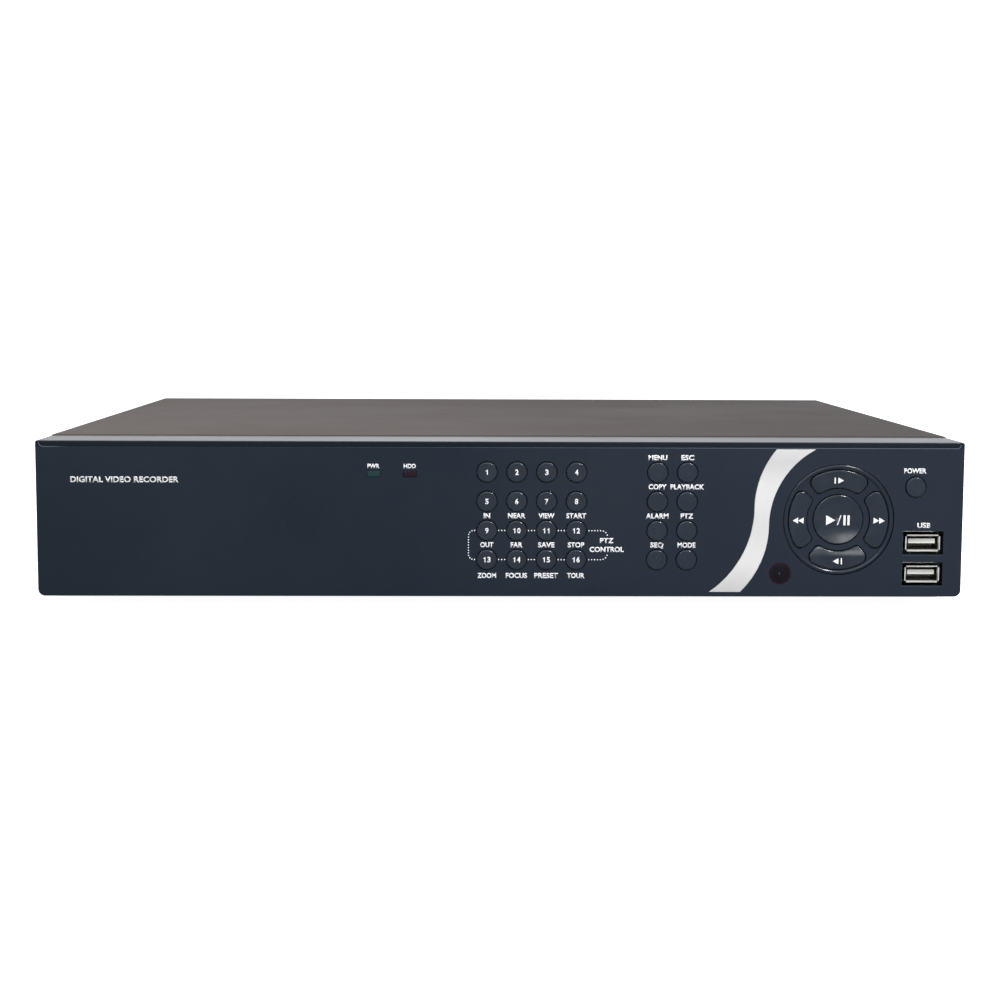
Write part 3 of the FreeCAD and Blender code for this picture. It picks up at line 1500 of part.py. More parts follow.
def make_drive():
    """The hard disk drive: cast case, lid and its own board underneath."""
    right = pan_half - steel - drive_right
    left = right - drive_wide
    front = seam_y + drive_front
    rear = front + drive_long
    low = floor_z + standoff_high
    card = block("drive_card", (left + 12, right - 12), (front + 60, rear - 2), (low, low + 1.6))
    case = block("drive_case", (left, right), (front, rear), (low + 1.6, low + drive_high - 1))
    lid = block("drive_lid", (left + 1, right - 1), (front + 1, rear - 1),
                (low + drive_high - 1, low + drive_high))
    rails = []
    for low_x, high_x in ((left, left + 8), (right - 8, right)):
        rails.append(block(f"drive_rail_{len(rails)}", (low_x, high_x), (front, rear),
                           (low, low + 1.6)))
    return node(group("drive", [fuse("drive_solid", [case] + rails), lid, card]), "hard_drive")


def make_supply():
    """The open power supply: board, transformer, capacitor and a bent heat plate."""
    right = pan_half - steel - drive_right
    left = right - supply_wide
    rear = panel_y - supply_rear
    front = rear - supply_long
    low = floor_z + standoff_high
    top = low + board_thick
    pieces = [block("supply_board", (left, right), (front, rear), (low, top)),
              block("supply_transformer", (left + 34, left + 64), (front + 24, front + 56),
                    (top, top + 26)),
              block("supply_plate", (right - 12, right - 9), (front + 12, rear - 12),
                    (top, top + 28)),
              rod("supply_capacitor", 11, 26, "z", right - 24, rear - 22, top),
              rod("supply_output_a", 6.3, 20, "z", left + 14, front + 20, top),
              rod("supply_output_b", 6.3, 20, "z", left + 14, front + 40, top),
              block("supply_choke", (left + 10, left + 28), (front + 52, front + 72),
                    (top, top + 18))]
    return node(group("supply", pieces), "power_supply")


def make_front_lead():
    """The flat lead from the key board, back through the wall and down to the main board."""
    body = new_body("front_lead")
    place(body, lead_x, 0, 0)
    start_y = front_y + front_board_deep + board_thick
    end_y = panel_y - board_long + 16
    drop_y = seam_y + lead_back
    high = low_z + lead_high
    low = board_top + 2
    outer = lead_bend + lead_half
    inner = lead_bend - lead_half
    outline = sketch_on(body, "YZ_Plane", "front_lead_outline")
    path(outline, [
        (start_y, high + lead_half), (drop_y - lead_bend, high + lead_half, outer, -1),
        (drop_y + lead_half, high - lead_bend), (drop_y + lead_half, low + lead_bend, inner, 1),
        (drop_y + lead_bend, low + lead_half), (end_y, low + lead_half),
        (end_y, low - lead_half), (drop_y + lead_bend, low - lead_half, outer, -1),
        (drop_y - lead_half, low + lead_bend), (drop_y - lead_half, high - lead_bend, inner, 1),
        (drop_y - lead_bend, high - lead_half), (start_y, high - lead_half)])
    ribbon = pad(body, outline, lead_width)
    ribbon.Midplane = True
    return body


def make_disk_lead():
    """The flat data lead, standing on edge, from the disk drive round to the main board."""
    body = new_body("disk_lead")
    start_x = pan_half - steel - drive_right - drive_wide + 14
    start_y = seam_y + drive_front + drive_long
    turn_y = start_y + lead_bend + 3
    end_x = start_x - disk_lead_run
    outer = lead_bend + lead_half
    inner = lead_bend - lead_half
    place(body, 0, 0, board_top + 3)
    outline = sketch_on(body, "XY_Plane", "disk_lead_outline")
    path(outline, [
        (start_x + lead_half, start_y), (start_x + lead_half, turn_y - lead_bend, outer, 1),
        (start_x - lead_bend, turn_y + lead_half), (end_x, turn_y + lead_half),
        (end_x, turn_y - lead_half), (start_x - lead_bend, turn_y - lead_half, inner, -1),
        (start_x - lead_half, turn_y - lead_bend), (start_x - lead_half, start_y)])
    pad(body, outline, disk_lead_width)
    return body


def make_wiring():
    """The two internal leads."""
    return node(group("leads", [make_front_lead(), make_disk_lead()]), "wiring")


# ---------------------------------------------------------------- put it together

make_bezel()
make_stripe()
make_pad_ring()
make_window()
make_lamp_lens("power_led_lens", power_lamp_x)
make_lamp_lens("drive_led_lens", drive_lamp_x)
make_ports()
make_keys()
make_switches()
make_front_board()
make_base_pan()
make_cover()
make_rear_panel()
make_feet()
make_screws()
make_video_jacks()
make_audio_jacks()
make_screen_port()
make_network_port()
make_terminals()
make_inlet()
make_fan()
make_main_board()
make_drive()
make_supply()
make_wiring()
doc.recompute()

for thing in doc.Objects:
    if "Invalid" in thing.State or "Error" in thing.State:
        raise RuntimeError(f"{thing.Label} did not build: {thing.State}")
os.makedirs("parts", exist_ok=True)
for piece in nodes:
    shape = piece.Shape
    if shape.isNull() or not shape.isValid():
        raise RuntimeError(f"{piece.Label} has no valid shape")
for piece in nodes:
    piece.Shape.exportStep(f"parts/{piece.Label}.step")
print(f"{len(nodes)} pieces written")
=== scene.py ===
import json
import math

import bmesh
import bpy
from mathutils import Matrix, Vector
from mathutils.bvhtree import BVHTree


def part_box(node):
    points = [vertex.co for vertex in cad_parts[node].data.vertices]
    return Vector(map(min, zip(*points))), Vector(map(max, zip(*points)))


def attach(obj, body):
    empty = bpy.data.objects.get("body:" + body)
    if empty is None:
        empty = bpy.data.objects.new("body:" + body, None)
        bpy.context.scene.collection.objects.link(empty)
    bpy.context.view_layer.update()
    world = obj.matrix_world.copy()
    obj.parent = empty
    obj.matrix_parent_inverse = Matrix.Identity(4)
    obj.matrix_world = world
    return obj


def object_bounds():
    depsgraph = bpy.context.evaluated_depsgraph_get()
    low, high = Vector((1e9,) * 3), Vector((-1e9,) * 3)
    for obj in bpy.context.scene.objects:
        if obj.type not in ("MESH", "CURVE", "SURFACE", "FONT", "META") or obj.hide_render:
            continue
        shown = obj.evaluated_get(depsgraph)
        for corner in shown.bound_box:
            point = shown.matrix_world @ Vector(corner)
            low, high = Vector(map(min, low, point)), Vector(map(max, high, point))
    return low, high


MM = 0.001

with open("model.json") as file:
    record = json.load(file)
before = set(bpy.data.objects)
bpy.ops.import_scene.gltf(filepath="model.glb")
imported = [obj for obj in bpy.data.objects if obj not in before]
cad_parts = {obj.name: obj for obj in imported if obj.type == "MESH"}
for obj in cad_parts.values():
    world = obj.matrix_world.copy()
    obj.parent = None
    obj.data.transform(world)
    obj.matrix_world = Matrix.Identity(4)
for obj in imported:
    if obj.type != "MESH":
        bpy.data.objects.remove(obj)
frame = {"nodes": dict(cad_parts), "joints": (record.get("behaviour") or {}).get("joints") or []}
cad_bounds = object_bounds()

# ---- Camera -------------------------------------------------------------------------------
# A long lens a little above the recorder, square to its front, turned a degree to the right.
# It stands where the front fills the frame's width, and the whole lid shows foreshortened.
bezel_low, bezel_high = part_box("front_bezel")
front_y = bezel_low.y
case_low = bezel_low.z
camera_data = bpy.data.cameras.new("camera")
LENS = 66.26
SENSOR = 36
CAMERA_ACROSS = -14.35 * MM
CAMERA_AWAY = 747.9 * MM
CAMERA_HIGH = 120.5 * MM
CAMERA_TURN = -1.042
CAMERA_DIP = 6.153
CAMERA_ROLL = 0.233
camera_data.lens = LENS
camera_data.sensor_width = SENSOR
camera_data.dof.use_dof = False
camera = bpy.data.objects.new("camera", camera_data)
bpy.context.scene.collection.objects.link(camera)
camera.location = (CAMERA_ACROSS, front_y - CAMERA_AWAY, case_low + CAMERA_HIGH)
aim = (Matrix.Rotation(math.radians(CAMERA_TURN), 3, "Z")
       @ Matrix.Rotation(math.radians(90 - CAMERA_DIP), 3, "X")
       @ Matrix.Rotation(math.radians(CAMERA_ROLL), 3, "Z"))
camera.rotation_euler = aim.to_euler()
bpy.context.scene.camera = camera

# ---- Studio: floor, sky and lamps -------------------------------------------------------------
# A plain pale floor and backdrop that look white, under a broad weak overhead softbox; one
# small lamp above the right shoulder draws the rims, and a wide one fills the front.
view = bpy.context.scene.view_settings
view.view_transform = "Standard"

floor_mesh = bpy.data.meshes.new("floor")
FLOOR_HALF = 6.0
floor_mesh.from_pydata([(x, y, 0) for x, y in
                        ((-FLOOR_HALF, -FLOOR_HALF), (FLOOR_HALF, -FLOOR_HALF),
                         (FLOOR_HALF, FLOOR_HALF), (-FLOOR_HALF, FLOOR_HALF))], [], [(0, 1, 2, 3)])
floor = bpy.data.objects.new("floor", floor_mesh)
bpy.context.scene.collection.objects.link(floor)
floor_paint = bpy.data.materials.new("floor_paint")
floor_paint.use_nodes = True
floor_nodes = floor_paint.node_tree.nodes
floor_links = floor_paint.node_tree.links
floor_shader = floor_nodes["Principled BSDF"]
floor_shader.inputs["Roughness"].default_value = 0.8
floor_shader.inputs["Specular IOR Level"].default_value = 0.1
floor_ray = floor_nodes.new("ShaderNodeLightPath")
floor_glow = floor_nodes.new("ShaderNodeMath")
floor_glow.operation = "MULTIPLY"
floor_glow.inputs[1].default_value = 0.97
floor_links.new(floor_ray.outputs["Is Camera Ray"], floor_glow.inputs[0])
floor_shader.inputs["Emission Color"].default_value = (1, 1, 1, 1)
floor_links.new(floor_glow.outputs[0], floor_shader.inputs["Emission Strength"])
floor_dim = floor_nodes.new("ShaderNodeMix")
floor_dim.data_type = "RGBA"
floor_dim.inputs["A"].default_value = (0.34, 0.34, 0.35, 1)
floor_dim.inputs["B"].default_value = (0.88, 0.88, 0.885, 1)
floor_links.new(floor_ray.outputs["Is Camera Ray"], floor_dim.inputs["Factor"])
floor_links.new(floor_dim.outputs["Result"], floor_shader.inputs["Base Color"])
floor_mesh.materials.append(floor_paint)

world = bpy.data.worlds.new("studio")
world.use_nodes = True
bpy.context.scene.world = world
world_nodes = world.node_tree.nodes
world_links = world.node_tree.links
background = world_nodes["Background"]
sky_place = world_nodes.new("ShaderNodeTexCoord")
sky_split = world_nodes.new("ShaderNodeSeparateXYZ")
sky_ramp = world_nodes.new("ShaderNodeValToRGB")
sky_ramp.color_ramp.elements[0].position = 0.0
sky_ramp.color_ramp.elements[0].color = (0.50, 0.50, 0.52, 1)
sky_ramp.color_ramp.elements[1].position = 0.5
sky_ramp.color_ramp.elements[1].color = (0.36, 0.37, 0.39, 1)
sky_back = world_nodes.new("ShaderNodeMapRange")
sky_back.inputs["From Min"].default_value = -0.2
sky_back.inputs["From Max"].default_value = 0.8
sky_back.inputs["To Min"].default_value = 0.55
sky_back.inputs["To Max"].default_value = 1.8
sky_seen = world_nodes.new("ShaderNodeMix")
sky_seen.data_type = "RGBA"
sky_seen.inputs["B"].default_value = (1.05, 1.05, 1.05, 1)
sky_power = world_nodes.new("ShaderNodeMix")
sky_power.inputs["B"].default_value = 1.0
sky_ray = world_nodes.new("ShaderNodeLightPath")
world_links.new(sky_place.outputs["Object"], sky_split.inputs[0])
world_links.new(sky_split.outputs["Z"], sky_ramp.inputs["Fac"])
world_links.new(sky_split.outputs["Y"], sky_back.inputs["Value"])
world_links.new(sky_ray.outputs["Is Camera Ray"], sky_seen.inputs["Factor"])
world_links.new(sky_ramp.outputs["Color"], sky_seen.inputs["A"])
world_links.new(sky_seen.outputs["Result"], background.inputs["Color"])
world_links.new(sky_ray.outputs["Is Camera Ray"], sky_power.inputs["Factor"])
world_links.new(sky_back.outputs["Result"], sky_power.inputs["A"])
world_links.new(sky_power.outputs["Result"], background.inputs["Strength"])


def softbox(name, place, target, size, watts, colour=(1, 1, 1)):
    """A rectangular lamp that faces a point."""
    data = bpy.data.lights.new(name, "AREA")
    data.shape = "RECTANGLE"
    data.size, data.size_y = size
    data.energy = watts
    data.color = colour
    lamp = bpy.data.objects.new(name, data)
    lamp.location = place
    lamp.rotation_euler = (Vector(target) - Vector(place)).to_track_quat("-Z", "Y").to_euler()
    bpy.context.scene.collection.objects.link(lamp)
    return lamp


softbox("overhead", (0.05, -0.05, 1.5), (0, 0, 0), (1.5, 1.1), 4)
softbox("key_light", (0.75, -1.05, 1.15), (0.02, -0.16, 0.03), (0.26, 0.26), 20)
softbox("fill_front", (-0.2, -2.2, 1.05), (0.0, -0.16, 0.03), (1.6, 0.6), 27, (0.97, 0.98, 1))

# ---- Moulded front ----------------------------------------------------------------------------
# One deep tray of blue-black plastic with a fine spark-eroded grain and glossier rims, top and
# sides; its colour carries painted light towards the right and painted shade on the strip above
# its engraved line.  A lip follows the lower edge of that line, coloured as a painted highlight
# that dims towards the left, short of its left end.


def shader_group(name, inputs, outputs):
    """An empty shader node group with named sockets; inputs give each one's default value."""
    tree = bpy.data.node_groups.new(name, "ShaderNodeTree")
    for socket, default in inputs.items():
        kind = "NodeSocketVector" if isinstance(default, tuple) else "NodeSocketFloat"
        made = tree.interface.new_socket(socket, in_out="INPUT", socket_type=kind)
        made.default_value = default
    for socket in outputs:
        tree.interface.new_socket(socket, in_out="OUTPUT", socket_type="NodeSocketFloat")
    return tree, tree.nodes.new("NodeGroupInput"), tree.nodes.new("NodeGroupOutput")


def link(tree, source, target):
    tree.links.new(source, target)


def spot_axes(tree):
    """The X, Y and Z of the point that is shaded, as a node's outputs."""
    place = tree.nodes.new("ShaderNodeTexCoord")
    split = tree.nodes.new("ShaderNodeSeparateXYZ")
    link(tree, place.outputs["Object"], split.inputs[0])
    return split.outputs


def noise_node(tree, vector, scale, detail=4.0, rough=0.5):
    """A noise texture; its scale may be a number or a socket."""
    node = tree.nodes.new("ShaderNodeTexNoise")
    node.inputs["Detail"].default_value = detail
    node.inputs["Roughness"].default_value = rough
    link(tree, vector, node.inputs["Vector"])
    if isinstance(scale, (int, float)):
        node.inputs["Scale"].default_value = scale
    else:
        link(tree, scale, node.inputs["Scale"])
    return node.outputs["Fac"]


def math_node(tree, operation, first, second=None, third=None, clamp=False):
    node = tree.nodes.new("ShaderNodeMath")
    node.operation = operation
    node.use_clamp = clamp
    for index, value in enumerate((first, second, third)):
        if value is None:
            continue
        if isinstance(value, (int, float)):
            node.inputs[index].default_value = value
        else:
            link(tree, value, node.inputs[index])
    return node.outputs[0]


def spread(tree, value, low, high, to_low=0.0, to_high=1.0):
    """Maps one range onto another, smoothly and clamped."""
    node = tree.nodes.new("ShaderNodeMapRange")
    node.interpolation_type = "SMOOTHSTEP"
    link(tree, value, node.inputs["Value"])
    for socket, amount in (("From Min", low), ("From Max", high),
                           ("To Min", to_low), ("To Max", to_high)):
        if isinstance(amount, (int, float)):
            node.inputs[socket].default_value = amount
        else:
            link(tree, amount, node.inputs[socket])
    return node.outputs["Result"]


grain, grain_in, grain_out = shader_group(
    "grain", {"Scale": 2000.0, "Broad Scale": 18.0, "Stretch": (1.0, 1.0, 1.0)}, ("Height", "Tone"))
grain_place = grain.nodes.new("ShaderNodeTexCoord")
grain_turn = grain.nodes.new("ShaderNodeVectorMath")
grain_turn.operation = "MULTIPLY"
link(grain, grain_place.outputs["Object"], grain_turn.inputs[0])
link(grain, grain_in.outputs["Stretch"], grain_turn.inputs[1])
grain_fine = noise_node(grain, grain_turn.outputs[0], grain_in.outputs["Scale"], 3.0, 0.6)
grain_broad = noise_node(grain, grain_place.outputs["Object"], grain_in.outputs["Broad Scale"],
                         5.0, 0.6)
link(grain, grain_fine, grain_out.inputs["Height"])
link(grain, spread(grain, grain_broad, 0.3, 0.7), grain_out.inputs["Tone"])

# Painted shade: a noise-broken mask along a case's upper side edges and upper rear edge.
painted_edge_shade, painted_edge_shade_in, painted_edge_shade_out = shader_group(
    "painted_edge_shade_mask", {"Half Width": 0.19, "Back": 0.16, "Top": 0.068, "Reach": 0.0015}, ("Mask",))
painted_edge_shade_place = painted_edge_shade.nodes.new("ShaderNodeTexCoord")
painted_edge_shade_split = painted_edge_shade.nodes.new("ShaderNodeSeparateXYZ")
link(painted_edge_shade, painted_edge_shade_place.outputs["Object"], painted_edge_shade_split.inputs[0])
side_gap = math_node(painted_edge_shade, "SUBTRACT", painted_edge_shade_in.outputs["Half Width"],
                     math_node(painted_edge_shade, "ABSOLUTE", painted_edge_shade_split.outputs["X"]))
top_gap = math_node(painted_edge_shade, "SUBTRACT", painted_edge_shade_in.outputs["Top"], painted_edge_shade_split.outputs["Z"])
back_gap = math_node(painted_edge_shade, "MULTIPLY", 0.2, math_node(
    painted_edge_shade, "SUBTRACT", painted_edge_shade_in.outputs["Back"], painted_edge_shade_split.outputs["Y"]))
near_gap = math_node(painted_edge_shade, "MINIMUM", math_node(painted_edge_shade, "ABSOLUTE", side_gap),
                     math_node(painted_edge_shade, "ABSOLUTE", back_gap))
edge_gap = math_node(painted_edge_shade, "SQRT", math_node(
    painted_edge_shade, "ADD", math_node(painted_edge_shade, "MULTIPLY", near_gap, near_gap),
    math_node(painted_edge_shade, "MULTIPLY", top_gap, top_gap)))
edge_noise = noise_node(painted_edge_shade, painted_edge_shade_place.outputs["Object"], 260.0, 6.0, 0.7)
edge_near = spread(painted_edge_shade, edge_gap, painted_edge_shade_in.outputs["Reach"], 0.0)
link(painted_edge_shade, math_node(painted_edge_shade, "MULTIPLY", edge_near, spread(painted_edge_shade, edge_noise, 0.3, 0.5)),
     painted_edge_shade_out.inputs["Mask"])

dusty, dusty_in, dusty_out = shader_group("settled_dust", {"Amount": 0.3, "Scale": 60.0}, ("Mask",))
dusty_place = dusty.nodes.new("ShaderNodeTexCoord")
dusty_normal = dusty.nodes.new("ShaderNodeNewGeometry")
dusty_split = dusty.nodes.new("ShaderNodeSeparateXYZ")
link(dusty, dusty_normal.outputs["Normal"], dusty_split.inputs[0])
dusty_noise = noise_node(dusty, dusty_place.outputs["Object"], dusty_in.outputs["Scale"], 8.0, 0.65)
dusty_up = spread(dusty, dusty_split.outputs["Z"], 0.3, 1.0)
dusty_cloud = spread(dusty, dusty_noise, 0.4, 0.75)
link(dusty, math_node(dusty, "MULTIPLY", math_node(dusty, "MULTIPLY", dusty_up, dusty_cloud),
                      dusty_in.outputs["Amount"]), dusty_out.inputs["Mask"])


def colour4(colour):
    return (*colour, 1.0)


def srgb(red, green, blue):
    """A paint sample, 0 to 255, as the linear colour that shaders use."""
    return tuple((value / 255 / 12.92) if value <= 10 else ((value / 255 + 0.055) / 1.055) ** 2.4
                 for value in (red, green, blue))


def blend_colours(tree, mask, first, second):
    """Mixes two colours, or a colour socket and a colour, by a mask."""
    node = tree.nodes.new("ShaderNodeMix")
    node.data_type = "RGBA"
    link(tree, mask, node.inputs["Factor"])
    for socket, value in ((node.inputs["A"], first), (node.inputs["B"], second)):
        if isinstance(value, tuple):
            socket.default_value = colour4(value)
        else:
            link(tree, value, socket)
    return node.outputs["Result"]


def surface(name, colour, other, roughness, grain_scale, grain_depth, broad=18.0, metallic=0.0,
            specular=0.5, stretch=(1.0, 1.0, 1.0), dust=0.0, strength=0.5):
    """A material with two close tones, a broken roughness, a fine relief and settled dust."""
    material = bpy.data.materials.new(name)
    material.use_nodes = True
    tree = material.node_tree
    shader = tree.nodes["Principled BSDF"]
    shader.inputs["Metallic"].default_value = metallic
    shader.inputs["Specular IOR Level"].default_value = specular
    texture = tree.nodes.new("ShaderNodeGroup")
    texture.node_tree = grain
    texture.inputs["Scale"].default_value = grain_scale
    texture.inputs["Broad Scale"].default_value = broad
    texture.inputs["Stretch"].default_value = stretch
    tint = blend_colours(tree, texture.outputs["Tone"], colour, other)
    rough = spread(tree, texture.outputs["Tone"], 0.0, 1.0, *roughness)
    if dust:
        film = tree.nodes.new("ShaderNodeGroup")
        film.node_tree = dusty
        film.inputs["Amount"].default_value = dust
        tint = blend_colours(tree, film.outputs["Mask"], tint, (0.42, 0.40, 0.37))
    link(tree, tint, shader.inputs["Base Color"])
    link(tree, rough, shader.inputs["Roughness"])
    relief = tree.nodes.new("ShaderNodeBump")
    relief.inputs["Strength"].default_value = strength
    relief.inputs["Distance"].default_value = grain_depth
    link(tree, texture.outputs["Height"], relief.inputs["Height"])
    link(tree, relief.outputs["Normal"], shader.inputs["Normal"])
    return material, shader, tint


def rub(material, tint, shader, shade_tone, half_width, back, top, reach):
    """Paints shade on a material: blends it to another tone along its upper side edges and upper
    rear edge.
    """
    tree = material.node_tree
    edge_shading = tree.nodes.new("ShaderNodeGroup")
    edge_shading.node_tree = painted_edge_shade
    edge_shading.inputs["Half Width"].default_value = half_width
    edge_shading.inputs["Back"].default_value = back
    edge_shading.inputs["Top"].default_value = top
    edge_shading.inputs["Reach"].default_value = reach
    link(tree, blend_colours(tree, edge_shading.outputs["Mask"], tint, shade_tone), shader.inputs["Base Color"])


def dress(node, material):
    """Gives a CAD node its finish."""
    mesh = frame["nodes"][node].data
    mesh.materials.clear()
    mesh.materials.append(material)


LINE_DROP = 2.6 * MM
front_plastic, front_shader, front_tint = surface(
    "front_plastic", (0.0080, 0.0145, 0.0245), (0.0110, 0.0180, 0.0285), (0.27, 0.36), 3200.0,
    0.00003, broad=9.0, specular=0.22, dust=0.02, strength=0.3)
front_tree = front_plastic.node_tree
front_spot = spot_axes(front_tree)
# Painted shade: the strip above the engraved line is darkened towards near black.
strip_painted_shade = spread(front_tree, front_spot["Z"], bezel_high.z - LINE_DROP,
                    bezel_high.z - LINE_DROP + 0.0004, 0.0, 0.65)
# Painted light: the front's colour grows paler towards the right.
painted_light_right = spread(front_tree, front_spot["X"], -0.10, 0.12, 0.0, 0.3)
front_painted_light_tone = blend_colours(front_tree, painted_light_right, front_tint, (0.024, 0.031, 0.047))
link(front_tree, blend_colours(front_tree, strip_painted_shade, front_painted_light_tone, (0.001, 0.003, 0.006)),
     front_shader.inputs["Base Color"])


DULL_EDGE = 1.2 * MM


def polish(material, shader, back=None):
    """A clear gloss on a moulding's rounded rims and its top, short of its rear edge."""
    tree = material.node_tree
    facing = tree.nodes.new("ShaderNodeNewGeometry")
    split = tree.nodes.new("ShaderNodeSeparateXYZ")
    link(tree, facing.outputs["Normal"], split.inputs[0])
    amount = math_node(tree, "MULTIPLY", spread(tree, split.outputs["Y"], -0.97, -0.8),
                       spread(tree, split.outputs["Z"], 0.85, 0.98, 1.0, 0.42))
    if back is not None:
        amount = math_node(tree, "MULTIPLY", amount,
                           spread(tree, spot_axes(tree)["Y"],
                                  back - DULL_EDGE, back - 2 * DULL_EDGE))
    link(tree, amount, shader.inputs["Coat Weight"])
    shader.inputs["Coat Roughness"].default_value = 0.12


polish(front_plastic, front_shader, bezel_high.y)
dress("front_bezel", front_plastic)
dress("pad_ring", front_plastic)


def mesh_piece(name, mesh, material, body):
    """Makes a mesh a piece of the recorder that rides on a body."""
    piece = bpy.data.objects.new(name, mesh)
    bpy.context.scene.collection.objects.link(piece)
    if material is not None:
        mesh.materials.clear()
        mesh.materials.append(material)
    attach(piece, body)
    return piece


def closed_mesh(name, work):
    """Turns a bmesh into a named mesh whose faces all point outwards."""
    bmesh.ops.recalc_face_normals(work, faces=work.faces)
    mesh = bpy.data.meshes.new(name)
    work.to_mesh(mesh)
    work.free()
    return mesh


def swept(name, spine, profile):
    """A closed bar along a spine of (x, z, inward x, inward z), with a profile of (y, inset)."""
    work = bmesh.new()
    rings = [[work.verts.new((x + inset * nx, y, z + inset * nz)) for y, inset in profile]
             for x, z, nx, nz in spine]
    count = len(profile)
    for here, there in zip(rings, rings[1:]):
        for index in range(count):
            following = (index + 1) % count
            work.faces.new((here[index], here[following], there[following], there[index]))
    work.faces.new(rings[0])
    work.faces.new(rings[-1])
    return closed_mesh(name, work)


LINE_OUT = bezel_high.x - 1.3 * MM
LINE_TURN = 1.9 * MM
line_low = bezel_high.z - LINE_DROP
spine = []
for side in (-1, 1):
    turn = [(side * (LINE_OUT - LINE_TURN + LINE_TURN * math.sin(math.radians(step * 15))),
             line_low + LINE_TURN * (1 - math.cos(math.radians(step * 15))),
             -side * math.sin(math.radians(step * 15)), math.cos(math.radians(step * 15)))
            for step in range(7)]
    spine += turn[::-1] if side < 0 else turn
LIP_FRONT = front_y - 0.03 * MM
LIP_BACK = front_y + 0.34 * MM
lip_profile = [(LIP_FRONT, 0.0), (LIP_BACK, 0.0), (LIP_BACK, 0.38 * MM), (LIP_FRONT, 0.12 * MM)]
# The lip's pale colour is a painted highlight along the engraved line.
lip_painted_highlight, lip_shader, lip_highlight_tint = surface("lip_painted_highlight", srgb(92, 98, 112), srgb(80, 86, 100),
                                            (0.22, 0.34), 1500.0, 0.00001, broad=40.0, specular=0.5)
lip_tree = lip_painted_highlight.node_tree
lip_spot = spot_axes(lip_tree)
# Painted highlight dimmed: the lip fades to the front's dark tone towards the left, but not at its
# left end.
highlight_dim_left = spread(lip_tree, lip_spot["X"], -0.184, -0.176)
highlight_dim_right = spread(lip_tree, lip_spot["X"], 0.17, -0.12, 0.0, 0.95)
highlight_dim = math_node(lip_tree, "MULTIPLY", highlight_dim_left, highlight_dim_right)
link(lip_tree, blend_colours(lip_tree, highlight_dim, lip_highlight_tint, (0.012, 0.018, 0.028)),
     lip_shader.inputs["Base Color"])
mesh_piece("line_lip", swept("line_lip", spine, lip_profile), lip_painted_highlight, "case")

# ---- Silver stripe ----------------------------------------------------------------------------
# A thin S-shaped inlay pressed into the front: plastic under a satin silver coat, its colour
# banded lighter and darker up its height as a painted sheen that stands in for reflections.
silver, silver_shader, silver_tint = surface(
    "silver_coat", (0.82, 0.81, 0.79), (0.88, 0.87, 0.85), (0.3, 0.42), 5200.0, 0.00002,
    broad=55.0, metallic=0.15, specular=0.5, strength=0.3)
stripe_low, stripe_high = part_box("silver_stripe")
sheen_tree = silver.node_tree
sheen_spot = spot_axes(sheen_tree)
sheen_height = spread(sheen_tree, sheen_spot["Z"], stripe_low.z, stripe_high.z)
sheen_height.node.interpolation_type = "LINEAR"
# Painted sheen: a ramp of lighter and darker silver up the stripe's height, as painted reflections.
sheen = sheen_tree.nodes.new("ShaderNodeValToRGB")
sheen.color_ramp.interpolation = "B_SPLINE"
sheen.color_ramp.elements[0].position = 0.0
sheen.color_ramp.elements[0].color = (0.75, 0.75, 0.75, 1)
sheen.color_ramp.elements[1].position = 1.0
sheen.color_ramp.elements[1].color = (0.35, 0.35, 0.35, 1)
for place, tone in ((0.18, 0.05), (0.5, 0.5), (0.74, 0.0), (0.89, 0.75)):
    sheen.color_ramp.elements.new(place).color = (tone, tone, tone, 1)
link(sheen_tree, sheen_height, sheen.inputs["Fac"])
link(sheen_tree, blend_colours(sheen_tree, sheen.outputs["Color"], silver_tint, (0.40, 0.40, 0.41)),
     silver_shader.inputs["Base Color"])
dress("silver_stripe", silver)

# ---- Printed figures --------------------------------------------------------------------------
# White ink, pad-printed in a thin film.  Each figure is a thin closed slab cut from a letter's
# outline and laid on the moulding under it, so figures on a key move with that key.
ink, _, _ = surface("white_ink", (0.92, 0.92, 0.93), (0.86, 0.86, 0.88), (0.5, 0.65), 2600.0,
                    0.00001, broad=300.0)
INK_THICK = 0.012 * MM
INK_SUNK = 0.02 * MM


def plain_mesh(holder):
    """An object's final shape as a plain mesh; the object itself is removed."""
    bpy.context.scene.collection.objects.link(holder)
    bpy.context.view_layer.update()
    depsgraph = bpy.context.evaluated_depsgraph_get()
    mesh = bpy.data.meshes.new_from_object(holder.evaluated_get(depsgraph))
    bpy.data.objects.remove(holder)
    return mesh


def letters(text, height, middle, width=None, bold=0.034, facing=-1):
    """A line of letters as a flat mesh about a middle (x, z), facing -Y or +Y."""
    curve = bpy.data.curves.new("letters", "FONT")
    curve.body = text
    curve.align_x = "CENTER"
    curve.offset = bold
    curve.resolution_u = 3
    flat = plain_mesh(bpy.data.objects.new("letters", curve))
    low_x = min(vertex.co.x for vertex in flat.vertices)
    high_x = max(vertex.co.x for vertex in flat.vertices)
    cap = 0.7
    tall = height / cap
    wide = tall if width is None else width / (high_x - low_x)
    centre = (low_x + high_x) / 2
    for vertex in flat.vertices:
        across = (vertex.co.x - centre) * wide * (-facing)
        vertex.co = (middle[0] + across, 0, middle[1] + (vertex.co.y - cap / 2) * tall)
    return flat


def polygon(points):
    """A flat shape from (x, z) points."""
    mesh = bpy.data.meshes.new("polygon")
    mesh.from_pydata([(x, 0, z) for x, z in points], [], [list(range(len(points)))])
    return mesh


